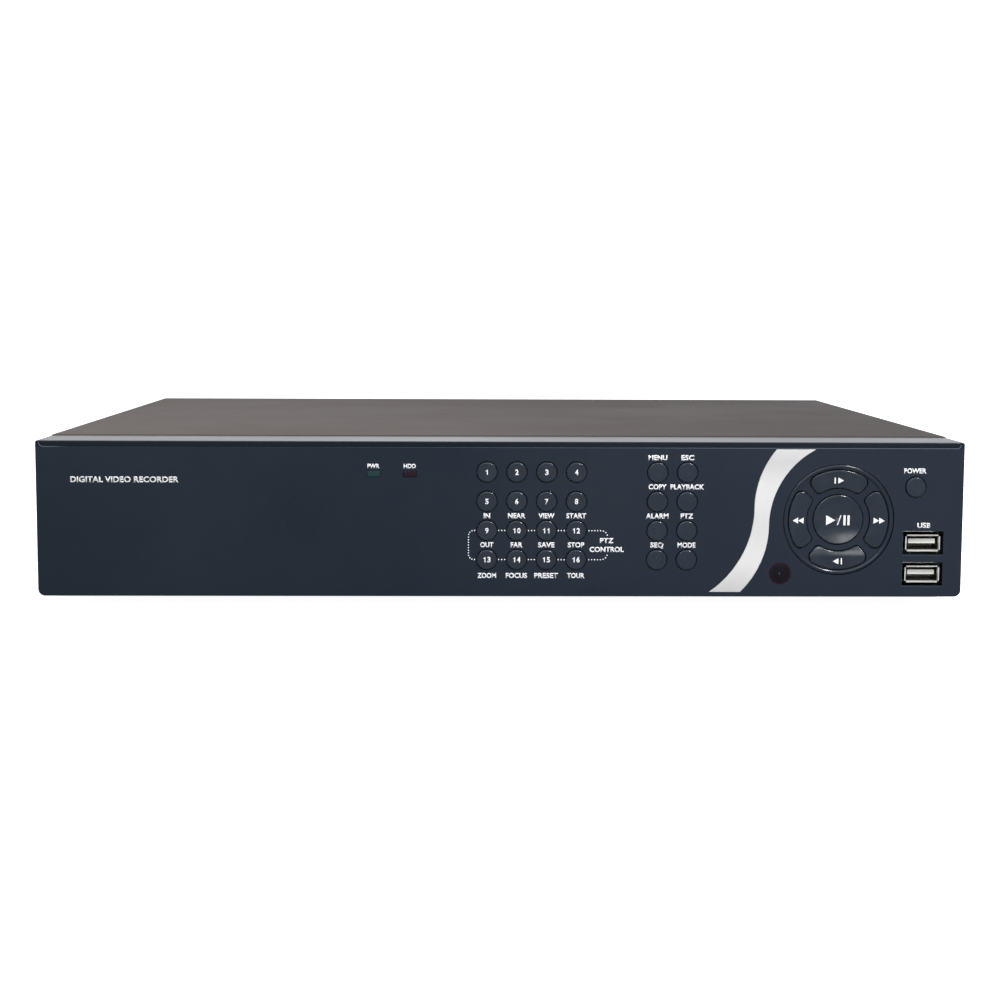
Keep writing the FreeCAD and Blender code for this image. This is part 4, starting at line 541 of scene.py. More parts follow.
def print_piece(name, shapes, node, body, facing=-1, material=None):
    """Lays flat shapes on a CAD node's surface, as one thin closed film of ink."""
    work = bmesh.new()
    for shape in shapes:
        work.from_mesh(shape)
        bpy.data.meshes.remove(shape)
    bmesh.ops.remove_doubles(work, verts=work.verts, dist=0.002 * MM)
    bmesh.ops.triangulate(work, faces=work.faces)
    bottom = list(work.faces)
    lifted = bmesh.ops.extrude_face_region(work, geom=bottom)
    top = {item for item in lifted["geom"] if isinstance(item, bmesh.types.BMVert)}
    cad = frame["nodes"][node].data
    tree = BVHTree.FromPolygons([vertex.co for vertex in cad.vertices],
                                [tuple(face.vertices) for face in cad.polygons])
    reach = 0.05
    for vertex in work.verts:
        start = Vector((vertex.co.x, (front_y if facing < 0 else cad_bounds[1][1]) + facing * reach,
                        vertex.co.z))
        hit = tree.ray_cast(start, Vector((0, -facing, 0)))[0]
        if hit is None:
            raise ValueError(f"{name} overhangs {node}")
        vertex.co.y = hit.y + facing * (INK_THICK if vertex in top else -INK_SUNK)
    mesh = closed_mesh(name, work)
    return mesh_piece(name, mesh, ink if material is None else material, body)


def middle_of(node):
    """A key's middle on the front, as (x, z)."""
    low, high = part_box(node)
    return (low.x + high.x) / 2, (low.z + high.z) / 2


CAP_HIGH = 2.0 * MM
DIGIT_HIGH = 2.1 * MM
ABOVE_KEY = 6.1 * MM
BELOW_KEY = 6.6 * MM
WORDS_ABOVE = {
    "key_menu": ("MENU", 7.7), "key_escape": ("ESC", 5.3), "key_copy": ("COPY", 7.4),
    "key_playback": ("PLAYBACK", 13.9), "key_alarm": ("ALARM", 9.3), "key_camera": ("PTZ", 5.2),
    "key_sequence": ("SEQ", 5.4), "key_mode": ("MODE", 7.4), "key_9": ("IN", 2.7),
    "key_10": ("NEAR", 7.2), "key_11": ("VIEW", 6.6), "key_12": ("START", 8.2),
    "key_13": ("OUT", 5.4), "key_14": ("FAR", 4.9), "key_15": ("SAVE", 6.8),
    "key_16": ("STOP", 6.8), "key_power": ("POWER", 9.2),
}
WORDS_BELOW = {"key_13": ("ZOOM", 7.8), "key_14": ("FOCUS", 8.8), "key_15": ("PRESET", 9.8),
               "key_16": ("TOUR", 7.2)}
words = []
for key, (word, wide) in WORDS_ABOVE.items():
    across, up = middle_of(key)
    shift = (-0.4 * MM, 0.6 * MM) if key == "key_power" else (0.0, 0.0)
    words.append(letters(word, CAP_HIGH, (across + shift[0], up + ABOVE_KEY + shift[1]), wide * MM))
for key, (word, wide) in WORDS_BELOW.items():
    across, up = middle_of(key)
    words.append(letters(word, CAP_HIGH, (across, up - BELOW_KEY), wide * MM))
last_x, last_z = middle_of("key_12")
words.append(letters("PTZ", CAP_HIGH, (last_x + 12.6 * MM, last_z - 4.1 * MM), 5.6 * MM))
words.append(letters("CONTROL", CAP_HIGH, (last_x + 12.6 * MM, last_z - 7.75 * MM), 14.1 * MM))
port_low, port_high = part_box("usb_shells")
port_x = (port_low.x + port_high.x) / 2
words.append(letters("USB", CAP_HIGH, (port_x + 0.1 * MM, port_high.z + 4.0 * MM), 5.5 * MM))
for lamp, word in (("power_led_lens", "PWR"), ("drive_led_lens", "HDD")):
    across, up = middle_of(lamp)
    words.append(letters(word, 1.7 * MM, (across, up + 3.3 * MM), 5.0 * MM))
print_piece("front_words", words, "front_bezel", "case")
left_margin = bezel_low.x + 36 * MM
title = letters("DIGITAL VIDEO RECORDER", 2.3 * MM, (left_margin, case_low + 48 * MM), 44 * MM)
print_piece("front_title", [title], "front_bezel", "case", material=silver)

# The dotted bracket that ties the lower number keys to camera control: dots set along a path.


def dots_tree():
    """Sets small discs along a path at an even pitch."""
    tree = bpy.data.node_groups.new("dots_on_path", "GeometryNodeTree")
    tree.interface.new_socket("Geometry", in_out="INPUT", socket_type="NodeSocketGeometry")
    for name in ("Pitch", "Radius", "Thickness"):
        tree.interface.new_socket(name, in_out="INPUT", socket_type="NodeSocketFloat")
    tree.interface.new_socket("Ink", in_out="INPUT", socket_type="NodeSocketMaterial")
    tree.interface.new_socket("Geometry", in_out="OUTPUT", socket_type="NodeSocketGeometry")
    given = tree.nodes.new("NodeGroupInput")
    result = tree.nodes.new("NodeGroupOutput")
    to_curve = tree.nodes.new("GeometryNodeMeshToCurve")
    points = tree.nodes.new("GeometryNodeCurveToPoints")
    points.mode = "LENGTH"
    disc = tree.nodes.new("GeometryNodeMeshCylinder")
    disc.inputs["Vertices"].default_value = 10
    turn = tree.nodes.new("FunctionNodeInputVector")
    turn.vector = (math.pi / 2, 0, 0)
    copies = tree.nodes.new("GeometryNodeInstanceOnPoints")
    real = tree.nodes.new("GeometryNodeRealizeInstances")
    coat = tree.nodes.new("GeometryNodeSetMaterial")
    link(tree, given.outputs["Geometry"], to_curve.inputs["Mesh"])
    link(tree, to_curve.outputs["Curve"], points.inputs["Curve"])
    link(tree, given.outputs["Pitch"], points.inputs["Length"])
    link(tree, given.outputs["Radius"], disc.inputs["Radius"])
    link(tree, given.outputs["Thickness"], disc.inputs["Depth"])
    link(tree, points.outputs["Points"], copies.inputs["Points"])
    link(tree, disc.outputs["Mesh"], copies.inputs["Instance"])
    link(tree, turn.outputs["Vector"], copies.inputs["Rotation"])
    link(tree, copies.outputs["Instances"], real.inputs["Geometry"])
    link(tree, real.outputs["Geometry"], coat.inputs["Geometry"])
    link(tree, given.outputs["Ink"], coat.inputs["Material"])
    link(tree, coat.outputs["Geometry"], result.inputs["Geometry"])
    return tree


def evaluated_piece(name, source_mesh, tree, values, body):
    """Runs a geometry tree on a mesh and keeps the result as a plain piece."""
    holder = bpy.data.objects.new(name, source_mesh)
    modifier = holder.modifiers.new("nodes", "NODES")
    modifier.node_group = tree
    for item in tree.interface.items_tree:
        if item.in_out == "INPUT" and item.name in values:
            modifier[item.identifier] = values[item.name]
    mesh = plain_mesh(holder)
    mesh.name = name
    return mesh_piece(name, mesh, None, body)


def line_mesh(name, strands):
    """A mesh of edges only, one strand for each list of points."""
    mesh = bpy.data.meshes.new(name)
    points = [point for strand in strands for point in strand]
    edges = []
    start = 0
    for strand in strands:
        edges += [(start + index, start + index + 1) for index in range(len(strand) - 1)]
        start += len(strand)
    mesh.from_pydata(points, edges, [])
    return mesh


KEY_CLEAR = 5.3 * MM
CORNER = 2.2 * MM
first_x, upper_z = middle_of("key_9")
_, lower_z = middle_of("key_13")
ink_y = front_y - INK_THICK / 2
strands = []
for row_z, inward in ((upper_z, -1), (lower_z, 1)):
    centres = [middle_of(f"key_{index}")[0] for index in range(9, 13)]
    for left, right in zip(centres, centres[1:]):
        strands.append([((left + right) / 2 - 1.2 * MM, ink_y, row_z),
                        ((left + right) / 2 + 1.25 * MM, ink_y, row_z)])
    run_end = centres[-1] + 10.8 * MM
    strands.append([(centres[-1] + KEY_CLEAR, ink_y, row_z), (run_end, ink_y, row_z),
                    (run_end + 1.2 * MM, ink_y, row_z + inward * 0.5 * MM),
                    (run_end + 2.0 * MM, ink_y, row_z + inward * 1.8 * MM)])
bracket_x = first_x - 7.5 * MM
bracket = [(first_x - 5.0 * MM, ink_y, upper_z)]
for centre_z, start in ((upper_z - CORNER, 90), (lower_z + CORNER, 180)):
    for step in range(7):
        angle = math.radians(start + step * 15)
        bracket.append((bracket_x + CORNER + CORNER * math.cos(angle), ink_y,
                        centre_z + CORNER * math.sin(angle)))
bracket.append((first_x - 5.0 * MM, ink_y, lower_z))
strands.append(bracket)
evaluated_piece("camera_bracket", line_mesh("camera_bracket", strands), dots_tree(),
                {"Pitch": 1.05 * MM, "Radius": 0.26 * MM, "Thickness": 0.05 * MM, "Ink": ink},
                "case")

# ---- Keys -------------------------------------------------------------------------------------
# Thirty caps of the same blue-black plastic as the front, a shade glossier where fingers
# polish them; the sixteen number keys and the five pad keys carry printed figures.
key_names = [joint["child"] for joint in frame["joints"] if joint["name"].endswith("_press")]


def key_finish(name, hollow=None):
    """The caps' plastic; a hollow is a (centre z, reach, lean, side) of upward-facing dishing."""
    material, shader, _ = surface(
        name, (0.0125, 0.0190, 0.0290), (0.0165, 0.0235, 0.0350), (0.2, 0.28), 2600.0, 0.00003,
        broad=90.0, specular=0.4, strength=0.2)
    polish(material, shader)
    if hollow is not None:
        middle_z, reach, lean, side = hollow
        tree = material.node_tree
        gap = math_node(tree, "MULTIPLY", side,
                        math_node(tree, "SUBTRACT", spot_axes(tree)["Z"], middle_z))
        share = math_node(tree, "MAXIMUM", gap, 0.0)
        depth = math_node(tree, "MULTIPLY", math_node(tree, "MULTIPLY", share, share),
                          -side * lean / (2 * reach))
        dish = tree.nodes.new("ShaderNodeBump")
        dish.inputs["Strength"].default_value = 1.0
        dish.inputs["Distance"].default_value = 1.0
        link(tree, depth, dish.inputs["Height"])
        relief = shader.inputs["Normal"].links[0].from_node
        link(tree, relief.outputs["Normal"], dish.inputs["Normal"])
        link(tree, dish.outputs["Normal"], shader.inputs["Normal"])
    return material


key_plastic = key_finish("key_plastic")
for key in key_names:
    dress(key, key_plastic)
LOWER_SHARE = 0.58
LOWER_LEAN = 0.62
ROUND_LEAN = 0.3
lower_low, lower_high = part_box("key_step_back")
lower_reach = LOWER_SHARE * (lower_high.z - lower_low.z)
dress("key_step_back", key_finish("key_plastic_lower", (
    lower_high.z - lower_reach, lower_reach, LOWER_LEAN, 1)))
round_low, round_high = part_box("key_play_pause")
dress("key_play_pause", key_finish("key_plastic_round", (
    (round_low.z + round_high.z) / 2, (round_high.z - round_low.z) / 2, ROUND_LEAN, -1)))


def figure(number, middle, height):
    """A key's number; the figure one is drawn as a stem with a flag."""
    shapes = []
    digits = str(number)
    pitch = 1.75 * MM
    start = middle[0] - pitch * (len(digits) - 1) / 2
    for place, digit in enumerate(digits):
        across = start + place * pitch
        if digit == "1":
            low, high = middle[1] - height / 2, middle[1] + height / 2
            right = across + 0.34 * MM
            left = right - 0.38 * MM
            shapes.append(polygon([(left, low), (right, low), (right, high),
                                   (right - 0.3 * MM, high), (right - 0.42 * MM, high - 0.32 * MM),
                                   (right - 0.86 * MM, high - 0.46 * MM),
                                   (right - 0.86 * MM, high - 0.74 * MM), (left, high - 0.7 * MM)]))
        else:
            shapes.append(letters(digit, height, (across, middle[1]), 1.42 * MM))
    return shapes


for number in range(1, 17):
    key = f"key_{number}"
    print_piece(f"figure_{number}", figure(number, middle_of(key), DIGIT_HIGH), key, key)


def triangle(middle, height, direction):
    """A solid arrowhead that points to +X or -X."""
    across, up = middle
    half = height / 2
    tip = across + direction * height * 0.46
    back = across - direction * height * 0.46
    return polygon([(tip, up), (back, up + half), (back, up - half)])


def slab(middle, width, height, lean=0.0):
    """An upright bar, or one that leans to the right."""
    across, up = middle
    w, h = width / 2, height / 2
    return polygon([(across - w - lean, up - h), (across + w - lean, up - h),
                    (across + w + lean, up + h), (across - w + lean, up + h)])


pad_low, pad_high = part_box("pad_ring")
pad_x, pad_z = (pad_low.x + pad_high.x) / 2, (pad_low.z + pad_high.z) / 2
SYMBOL_HIGH = 2.5 * MM
top_spot = (pad_x, pad_z + 16.2 * MM)
low_spot = (pad_x, pad_z - 17.2 * MM)
left_spot = (pad_x - 16.6 * MM, pad_z - 0.35 * MM)
right_spot = (pad_x + 16.8 * MM, pad_z - 0.35 * MM)


def beside(spot, across):
    return spot[0] + across, spot[1]


print_piece("figure_step_forward", [slab(beside(top_spot, -1.7 * MM), 0.55 * MM, SYMBOL_HIGH),
                                    triangle(beside(top_spot, 0.75 * MM), SYMBOL_HIGH, 1)],
            "key_step_forward", "key_step_forward")
print_piece("figure_step_back", [triangle(beside(low_spot, -0.75 * MM), SYMBOL_HIGH, -1),
                                 slab(beside(low_spot, 1.6 * MM), 0.5 * MM, SYMBOL_HIGH)],
            "key_step_back", "key_step_back")
print_piece("figure_rewind", [triangle(beside(left_spot, side * 1.15 * MM), SYMBOL_HIGH, -1)
                              for side in (-1, 1)], "key_rewind", "key_rewind")
print_piece("figure_fast_forward", [triangle(beside(right_spot, side * 1.15 * MM), SYMBOL_HIGH, 1)
                                    for side in (-1, 1)], "key_fast_forward", "key_fast_forward")
PLAY_HIGH = 4.1 * MM
centre_spot = (pad_x, pad_z - 0.3 * MM)
print_piece("figure_play_pause",
            [triangle(beside(centre_spot, -3.0 * MM), PLAY_HIGH, 1),
             slab(beside(centre_spot, 0.5 * MM), 0.42 * MM, PLAY_HIGH, 0.7 * MM),
             slab(beside(centre_spot, 2.7 * MM), 0.9 * MM, PLAY_HIGH),
             slab(beside(centre_spot, 4.35 * MM), 0.9 * MM, PLAY_HIGH)],
            "key_play_pause", "key_play_pause")

# ---- Windows and lamps ------------------------------------------------------------------------
# The receiver's window is dyed so deep a red that it looks black, with red at its rim; the two
# lamp windows are tinted light guides, green for power and red for the disk.


def tinted(name, colour, glow, depth):
    """A clear dyed plastic that scatters a little of its own colour."""
    material, shader, _ = surface(name, colour, tuple(c * 0.75 for c in colour), (0.24, 0.32),
                                  400.0, 0.00001, broad=120.0, specular=0.3)
    shader.inputs["Transmission Weight"].default_value = depth
    shader.inputs["IOR"].default_value = 1.49
    shader.inputs["Emission Strength"].default_value = glow
    shader.inputs["Emission Color"].default_value = colour4(colour)
    return material


WINDOW_DARK = (0.0045, 0.0035, 0.0070)
WINDOW_RED = (0.018, 0.0035, 0.008)
WINDOW_RADIUS = 4.3 * MM
WINDOW_RIM = 1.1 * MM
window_red = tinted("window_red", WINDOW_DARK, 0.0, 0.0)
window_low, window_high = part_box("ir_window")
window_tree = window_red.node_tree
window_shader = window_tree.nodes["Principled BSDF"]
window_shader.inputs["Specular IOR Level"].default_value = 0.2
window_place = window_tree.nodes.new("ShaderNodeTexCoord")
window_reach = window_tree.nodes.new("ShaderNodeVectorMath")
window_reach.operation = "DISTANCE"
window_flat = window_tree.nodes.new("ShaderNodeVectorMath")
window_flat.operation = "MULTIPLY"
window_flat.inputs[1].default_value = (1, 0, 1)
link(window_tree, window_place.outputs["Object"], window_flat.inputs[0])
link(window_tree, window_flat.outputs["Vector"], window_reach.inputs[0])
window_reach.inputs[1].default_value = ((window_low.x + window_high.x) / 2, 0,
                                        (window_low.z + window_high.z) / 2)
window_rim = spread(window_tree, window_reach.outputs["Value"], WINDOW_RADIUS - WINDOW_RIM,
                    WINDOW_RADIUS)
link(window_tree, blend_colours(window_tree, window_rim, WINDOW_DARK, WINDOW_RED),
     window_shader.inputs["Base Color"])
dress("ir_window", window_red)
dress("power_led_lens", tinted("lens_green", (0.010, 0.038, 0.038), 0.0, 0.0))
dress("drive_led_lens", tinted("lens_red", (0.014, 0.002, 0.009), 0.0, 0.0))

# ---- Front sockets ----------------------------------------------------------------------------
# Two folded steel shells, nickel plated, each round a white tongue that carries four gilt
# contacts; the shells' insides are darkened with depth as painted shade.
nickel, _, _ = surface("bright_nickel", srgb(205, 203, 198), srgb(188, 186, 182), (0.16, 0.3),
                       900.0, 0.00001, broad=160.0, metallic=1.0, stretch=(1, 6, 1))
white_plastic, _, _ = surface("white_plastic", srgb(226, 226, 220), srgb(212, 212, 204),
                              (0.42, 0.55), 1400.0, 0.00001, broad=90.0)
gilt, _, _ = surface("gilt", srgb(226, 184, 92), srgb(206, 160, 74), (0.2, 0.34), 900.0, 0.00001,
                     broad=200.0, metallic=1.0)
socket_nickel, socket_shader, socket_tint = surface(
    "socket_nickel", (0.86, 0.85, 0.82), (0.76, 0.75, 0.72), (0.25, 0.4), 900.0, 0.00001,
    broad=160.0, metallic=0.55, stretch=(1, 6, 1))
socket_tree = socket_nickel.node_tree
socket_spot = spot_axes(socket_tree)
# Painted shade: the shells turn near black from about 1.3 mm behind the front.
socket_painted_shade = spread(socket_tree, socket_spot["Y"], front_y + 1.3 * MM, front_y + 2.0 * MM)
link(socket_tree, blend_colours(socket_tree, socket_painted_shade, socket_tint, (0.03, 0.027, 0.018)),
     socket_shader.inputs["Base Color"])
dress("usb_shells", socket_nickel)
dress("usb_tongues", white_plastic)


def copies_tree(name):
    """Sets one mesh down on every point of another."""
    tree = bpy.data.node_groups.new(name, "GeometryNodeTree")
    tree.interface.new_socket("Geometry", in_out="INPUT", socket_type="NodeSocketGeometry")
    tree.interface.new_socket("Piece", in_out="INPUT", socket_type="NodeSocketObject")
    tree.interface.new_socket("Finish", in_out="INPUT", socket_type="NodeSocketMaterial")
    tree.interface.new_socket("Geometry", in_out="OUTPUT", socket_type="NodeSocketGeometry")
    given = tree.nodes.new("NodeGroupInput")
    result = tree.nodes.new("NodeGroupOutput")
    info = tree.nodes.new("GeometryNodeObjectInfo")
    copies = tree.nodes.new("GeometryNodeInstanceOnPoints")
    real = tree.nodes.new("GeometryNodeRealizeInstances")
    coat = tree.nodes.new("GeometryNodeSetMaterial")
    link(tree, given.outputs["Geometry"], copies.inputs["Points"])
    link(tree, given.outputs["Piece"], info.inputs["Object"])
    link(tree, info.outputs["Geometry"], copies.inputs["Instance"])
    link(tree, copies.outputs["Instances"], real.inputs["Geometry"])
    link(tree, real.outputs["Geometry"], coat.inputs["Geometry"])
    link(tree, given.outputs["Finish"], coat.inputs["Material"])
    link(tree, coat.outputs["Geometry"], result.inputs["Geometry"])
    return tree


set_copies = copies_tree("copies_on_points")


def repeated(name, prototype, points, material, body):
    """The same small mesh at many places, as one plain piece."""
    master = bpy.data.objects.new(f"{name}_master", prototype)
    bpy.context.scene.collection.objects.link(master)
    cloud = bpy.data.meshes.new(name)
    cloud.from_pydata([tuple(point) for point in points], [], [])
    piece = evaluated_piece(name, cloud, set_copies, {"Piece": master, "Finish": material},
                            body)
    bpy.data.objects.remove(master)
    return piece


def solid_box(name, low, high, bevel=0.0):
    """A box between two corners, with softened edges."""
    work = bmesh.new()
    bmesh.ops.create_cube(work, size=1.0)
    low, high = Vector(low), Vector(high)
    for vertex in work.verts:
        for axis in range(3):
            vertex.co[axis] = low[axis] if vertex.co[axis] < 0 else high[axis]
    if bevel:
        bmesh.ops.bevel(work, geom=list(work.edges), offset=bevel, segments=2, affect="EDGES")
    return closed_mesh(name, work)


def turned(name, profile, steps=24):
    """A shape turned about the Y axis from (y, radius) points; a closed ring if no radius is
    zero."""
    work = bmesh.new()
    rings = []
    for y, radius in profile:
        ring = []
        for step in range(steps if radius > 0 else 1):
            angle = 2 * math.pi * step / steps
            ring.append(work.verts.new((radius * math.cos(angle), y, radius * math.sin(angle))))
        rings.append(ring)
    closed = profile[0][1] > 0 and profile[-1][1] > 0
    pairs = list(zip(rings, rings[1:])) + ([(rings[-1], rings[0])] if closed else [])
    for here, there in pairs:
        for step in range(steps):
            following = (step + 1) % steps
            loop = [here[step % len(here)], here[following % len(here)],
                    there[following % len(there)], there[step % len(there)]]
            loop = list(dict.fromkeys(loop))
            if len(loop) > 2:
                work.faces.new(loop)
    mesh = closed_mesh(name, work)
    for face in mesh.polygons:
        face.use_smooth = len(face.vertices) == 4
    return mesh


tongue_low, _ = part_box("usb_tongues")
SHELL_HIGH = 7.32 * MM
TONGUE_FACE = 0.32 * MM
contact = solid_box("contact", (-0.5 * MM, 0, 0), (0.5 * MM, 6.8 * MM, 0.12 * MM), 0.04 * MM)
contact_points = []
for middle_z in (port_high.z - SHELL_HIGH / 2, port_low.z + SHELL_HIGH / 2):
    for across in (-3.5, -1.0, 1.0, 3.5):
        contact_points.append((port_x + across * MM, tongue_low.y + 0.6 * MM,
                               middle_z - TONGUE_FACE - 0.12 * MM))
repeated("port_contacts", contact, contact_points, gilt, "case")

# ---- Steel case -------------------------------------------------------------------------------
# The wrap-round lid and the rear panel are sheet steel under a finely textured warm grey
# paint; the lid carries painted shade along its bends and towards its right side.  The base pan
# is bright zinc with a faint rolled streak.
_, cover_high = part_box("top_cover")
cover_paint, cover_shader, cover_tint = surface(
    "cover_paint", (0.097, 0.079, 0.068), (0.112, 0.093, 0.081), (0.5, 0.6), 1700.0, 0.00006,
    broad=7.0, specular=0.1, dust=0.03, strength=0.5)
cover_tree = cover_paint.node_tree
cover_spot = spot_axes(cover_tree)
# Painted shade: the lid's colour darkens towards its right side.
shaded_right = spread(cover_tree, cover_spot["X"], -0.19, 0.19, 0.0, 0.8)
cover_tint = blend_colours(cover_tree, shaded_right, cover_tint, (0.060, 0.050, 0.048))
# Painted shade: the lid darkens to a near-black brown along its upper side and rear edges.
rub(cover_paint, cover_tint, cover_shader, (0.028, 0.026, 0.024), cover_high.x, cover_high.y,
    cover_high.z, 0.0016)
rear_paint, _, _ = surface("rear_paint", (0.104, 0.090, 0.081), (0.117, 0.103, 0.093),
                           (0.5, 0.6), 1700.0, 0.00006, broad=12.0, specular=0.25)
zinc, _, _ = surface("zinc_plate", srgb(168, 172, 174), srgb(150, 154, 158), (0.3, 0.48), 700.0,
                     0.00002, broad=22.0, metallic=1.0, stretch=(1, 0.08, 1))
dress("top_cover", cover_paint)
dress("rear_panel", rear_paint)
dress("base_pan", zinc)

# ---- Feet and screws --------------------------------------------------------------------------
# Four moulded rubber feet and the M3 screws, bright nickel with a cross in each head.
rubber, _, _ = surface("foot_rubber", srgb(26, 26, 27), srgb(34, 34, 35), (0.75, 0.9), 1500.0,
                       0.00005, broad=80.0, specular=0.3)
dress("rubber_feet", rubber)
dress("case_screws", nickel)

# ---- Rear sockets -----------------------------------------------------------------------------
# Nickel bayonet barrels on hexagon nuts round white insulators with gilt contacts; phono
# sockets with coloured rings; a monitor socket, a network socket, a green terminal strip and
# the black mains inlet.
black_plastic, _, _ = surface("black_plastic", srgb(28, 28, 30), srgb(36, 36, 38), (0.4, 0.55),
                              1300.0, 0.00003, broad=60.0, specular=0.4)
green_plastic, _, _ = surface("green_plastic", srgb(34, 128, 78), srgb(28, 112, 68), (0.4, 0.55),
                              1300.0, 0.00003, broad=60.0)
red_plastic, _, _ = surface("red_plastic", srgb(178, 34, 36), srgb(160, 28, 32), (0.35, 0.5),
                            1300.0, 0.00003, broad=60.0)
blue_plastic, _, _ = surface("blue_plastic", srgb(36, 64, 140), srgb(30, 54, 122), (0.4, 0.55),
                             1300.0, 0.00003, broad=60.0)
dress("video_jacks", nickel)
dress("video_jack_cores", white_plastic)
dress("audio_jacks", black_plastic)
dress("screen_port", nickel)
dress("network_port", black_plastic)
dress("alarm_terminals", green_plastic)
dress("power_inlet", black_plastic)

panel_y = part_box("rear_panel")[1].y
core_low, core_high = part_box("video_jack_cores")
JACK_COLUMNS = 9
CORE_RADIUS = 4.0 * MM
column_gap = (core_high.x - core_low.x - 2 * CORE_RADIUS) / (JACK_COLUMNS - 1)
row_gap = core_high.z - core_low.z - 2 * CORE_RADIUS
jack_places = [(core_low.x + CORE_RADIUS + column * column_gap,
                core_low.z + CORE_RADIUS + row * row_gap)
               for column in range(JACK_COLUMNS) for row in range(2)]
sleeve = turned("sleeve", [(0, 0.68 * MM), (6.2 * MM, 0.68 * MM), (6.35 * MM, 0.55 * MM),
                           (6.2 * MM, 0.34 * MM), (1.2 * MM, 0.34 * MM), (0.9 * MM, 0.5 * MM)], 14)
repeated("jack_contacts", sleeve, [(x, core_low.y + 1.0 * MM, z) for x, z in jack_places], gilt,
         "case")

sound_low, sound_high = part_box("audio_jacks")
SOUND_BLOCK = 14.0 * MM
SOUND_BLOCK_WIDE = 13.5 * MM
sound_xs = (sound_low.x + SOUND_BLOCK_WIDE / 2, sound_high.x - SOUND_BLOCK_WIDE / 2)
sound_zs = (sound_low.z + SOUND_BLOCK / 2, sound_high.z - SOUND_BLOCK / 2)
phono_ring = turned("phono_ring", [(1.2 * MM, 5.6 * MM), (1.9 * MM, 5.4 * MM), (2.1 * MM, 5.0 * MM),
                                   (2.1 * MM, 4.2 * MM), (1.2 * MM, 4.2 * MM)], 40)
repeated("phono_shells", turned("phono_sleeve", [(2.1 * MM, 4.2 * MM), (8.3 * MM, 4.2 * MM),
                                                 (8.52 * MM, 4.05 * MM), (8.52 * MM, 3.6 * MM),
                                                 (8.2 * MM, 3.55 * MM), (8.2 * MM, 4.1 * MM),
                                                 (2.1 * MM, 4.1 * MM)], 40),
         [(x, panel_y, z) for x in sound_xs for z in sound_zs], nickel, "case")
repeated("phono_rings_white", phono_ring.copy(), [(sound_xs[1], panel_y, z) for z in sound_zs],
         white_plastic, "case")
repeated("phono_rings_red", phono_ring, [(sound_xs[0], panel_y, z) for z in sound_zs],
         red_plastic, "case")

screen_low, screen_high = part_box("screen_port")
screen_x = (screen_low.x + screen_high.x) / 2
screen_z = screen_high.z - 6.25 * MM
insulator_profile = [(screen_x + across * MM, screen_z + up * MM)
                     for across, up in ((-7.3, -3.1), (7.3, -3.1), (6.5, 3.1), (-6.5, 3.1))]


def plate_with_holes(name, outline, holes, radius, y_back, y_front):
    """A flat plate facing +Y with round holes, as a closed solid."""
    curve = bpy.data.curves.new(name, "CURVE")
    curve.dimensions = "2D"
    curve.fill_mode = "BOTH"
    curve.extrude = (y_front - y_back) / 2
    loops = [outline]
    for centre_x, centre_z in holes:
        loops.append([(centre_x + radius * math.cos(2 * math.pi * step / 12),
                       centre_z + radius * math.sin(2 * math.pi * step / 12))
                      for step in range(12)])
    for loop in loops:
        spline = curve.splines.new("POLY")
        spline.points.add(len(loop) - 1)
        for point, (across, up) in zip(spline.points, loop):
            point.co = (across, up, 0, 1)
        spline.use_cyclic_u = True
    mesh = plain_mesh(bpy.data.objects.new(name, curve))
    for vertex in mesh.vertices:
        across, up, deep = vertex.co
        vertex.co = (across, (y_back + y_front) / 2 + deep, up)
    work = bmesh.new()
    work.from_mesh(mesh)
    bmesh.ops.remove_doubles(work, verts=work.verts, dist=0.001 * MM)
    bmesh.ops.recalc_face_normals(work, faces=work.faces)
    work.to_mesh(mesh)
    work.free()
    return mesh


pin_holes = [(screen_x + ((column - 2) * 2.29 + (row - 1) * 0.5) * MM,
              screen_z + (row - 1) * 1.98 * MM)
             for row in range(3) for column in range(5)]
mesh_piece("screen_insulator",
           plate_with_holes("screen_insulator", insulator_profile, pin_holes, 0.48 * MM,
                            panel_y + 0.45 * MM, panel_y + 4.6 * MM),
           blue_plastic, "case")

network_low, network_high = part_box("network_port")
network_x = (network_low.x + network_high.x) / 2
finger = solid_box("finger", (-0.2 * MM, -6.5 * MM, 0), (0.2 * MM, 0, 0.22 * MM), 0.05 * MM)
for vertex in finger.vertices:
    vertex.co.z -= max(0.0, -vertex.co.y - 0.5 * MM) * 0.28
repeated("network_contacts", finger,
         [(network_x + (index - 3.5) * 1.02 * MM, network_high.y - 2.2 * MM,
           network_low.z + 10.4 * MM)
          for index in range(8)], gilt, "case")
for name, side, colour in (("network_lamp_green", -1, srgb(60, 150, 80)),
                           ("network_lamp_amber", 1, srgb(190, 130, 40))):
    lamp_x = network_x + side * 5.6 * MM
    lamp_body = solid_box(
        name, (lamp_x - 1.5 * MM, network_high.y - 0.3 * MM, network_low.z + 11.1 * MM),
        (lamp_x + 1.5 * MM, network_high.y + 0.25 * MM, network_low.z + 12.9 * MM), 0.2 * MM)
    mesh_piece(name, lamp_body, tinted(name, colour, 0.05, 0.2), "case")

terminal_low, terminal_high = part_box("alarm_terminals")
TERMINAL_WAYS = 11
way = (terminal_high.x - terminal_low.x) / TERMINAL_WAYS
clamp = turned("clamp", [(-2.8 * MM, 0), (-2.8 * MM, 1.15 * MM), (-1.0 * MM, 1.15 * MM),
                         (-0.8 * MM, 0.95 * MM), (-0.8 * MM, 0)], 16)
clamp_places = [(terminal_low.x + (index + 0.5) * way, terminal_high.y, terminal_low.z + 8 * MM)
                for index in range(TERMINAL_WAYS)]
repeated("terminal_clamps", clamp, clamp_places, nickel, "case")

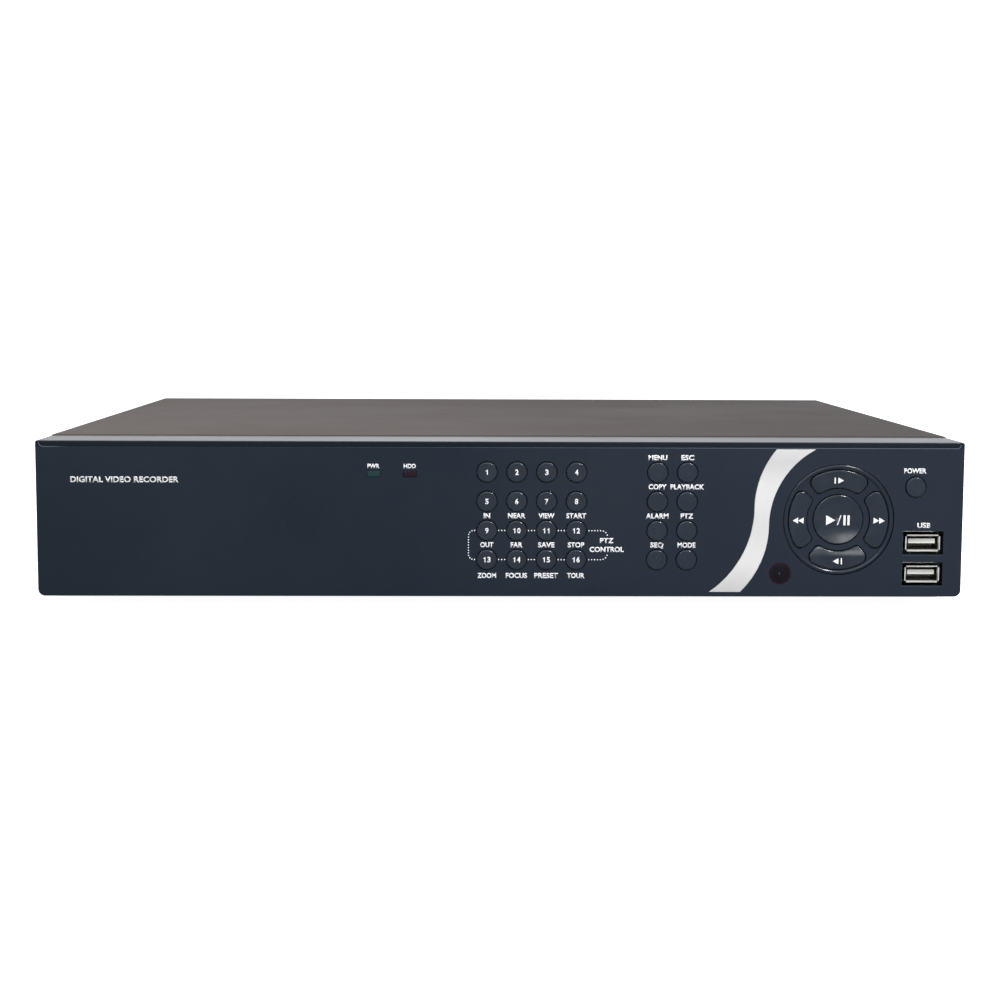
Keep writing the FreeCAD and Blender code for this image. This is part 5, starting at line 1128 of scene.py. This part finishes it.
inlet_low, inlet_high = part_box("power_inlet")
inlet_x, inlet_z = (inlet_low.x + inlet_high.x) / 2, (inlet_low.z + inlet_high.z) / 2
blade_places = [(inlet_x + across * MM, inlet_high.y - 3.0 * MM, inlet_z + up * MM)
                for across, up in ((-7, -2), (0, 2), (7, -2))]
blade = solid_box("blade", (-1.05 * MM, -12.9 * MM, -2.05 * MM),
                  (1.05 * MM, 0.06 * MM, 2.05 * MM), 0.3 * MM)
repeated("inlet_blades", blade, blade_places, nickel, "case")

rear_words = []
for index, (across, up) in enumerate(jack_places):
    if index < 2 * (JACK_COLUMNS - 1):
        rear_words.append(letters(str(index + 1), 2.0 * MM, (across - 6.6 * MM, up + 6.9 * MM),
                                  facing=1))
middle_jack = (jack_places[0][0] + jack_places[15][0]) / 2
title_z = jack_places[1][1] + 12.6 * MM
LEGEND_GAP = 4 * MM
for word, high, across, up in (
        ("VIDEO IN", 2.4, middle_jack, title_z),
        ("OUT", 2.2, jack_places[17][0], title_z),
        ("AUDIO", 2.4, (sound_xs[0] + sound_xs[1]) / 2, sound_zs[1] + 10.5 * MM),
        ("MONITOR", 2.2, screen_x, screen_high.z + LEGEND_GAP),
        ("NETWORK", 2.2, network_x, network_high.z + LEGEND_GAP),
        ("ALARM", 2.4, (terminal_low.x + terminal_high.x) / 2, terminal_high.z + LEGEND_GAP),
        ("POWER", 2.4, inlet_x, inlet_high.z + LEGEND_GAP)):
    rear_words.append(letters(word, high * MM, (across, up), facing=1))
print_piece("rear_words", rear_words, "rear_panel", "case", facing=1)

# ---- Inside -----------------------------------------------------------------------------------
# Boards, drive, supply, fan and leads, glimpsed through the slots and round the sockets.
board_mask, _, _ = surface("board_green", srgb(16, 74, 40), srgb(22, 92, 50), (0.25, 0.4),
                                      500.0, 0.00002, broad=140.0)
chip_epoxy, _, _ = surface("chip_epoxy", srgb(30, 30, 32), srgb(40, 40, 42), (0.5, 0.65), 2200.0,
                           0.00002, broad=200.0)
aluminium, _, _ = surface("aluminium", srgb(186, 188, 190), srgb(170, 172, 176), (0.3, 0.45), 800.0,
                          0.00002, broad=30.0, metallic=1.0, stretch=(1, 0.1, 1))
lead_grey, _, _ = surface("lead_grey", srgb(140, 140, 144), srgb(120, 120, 124), (0.45, 0.6), 900.0,
                          0.00003, broad=60.0, stretch=(8, 0.3, 0.3))
for node, material in (("front_board", board_mask), ("main_board", board_mask),
                       ("power_supply", board_mask), ("key_switches", black_plastic),
                       ("board_chips", chip_epoxy), ("heat_sink", aluminium),
                       ("hard_drive", aluminium), ("wiring", lead_grey),
                       ("fan_frame", black_plastic), ("fan_rotor", black_plastic)):
    dress(node, material)
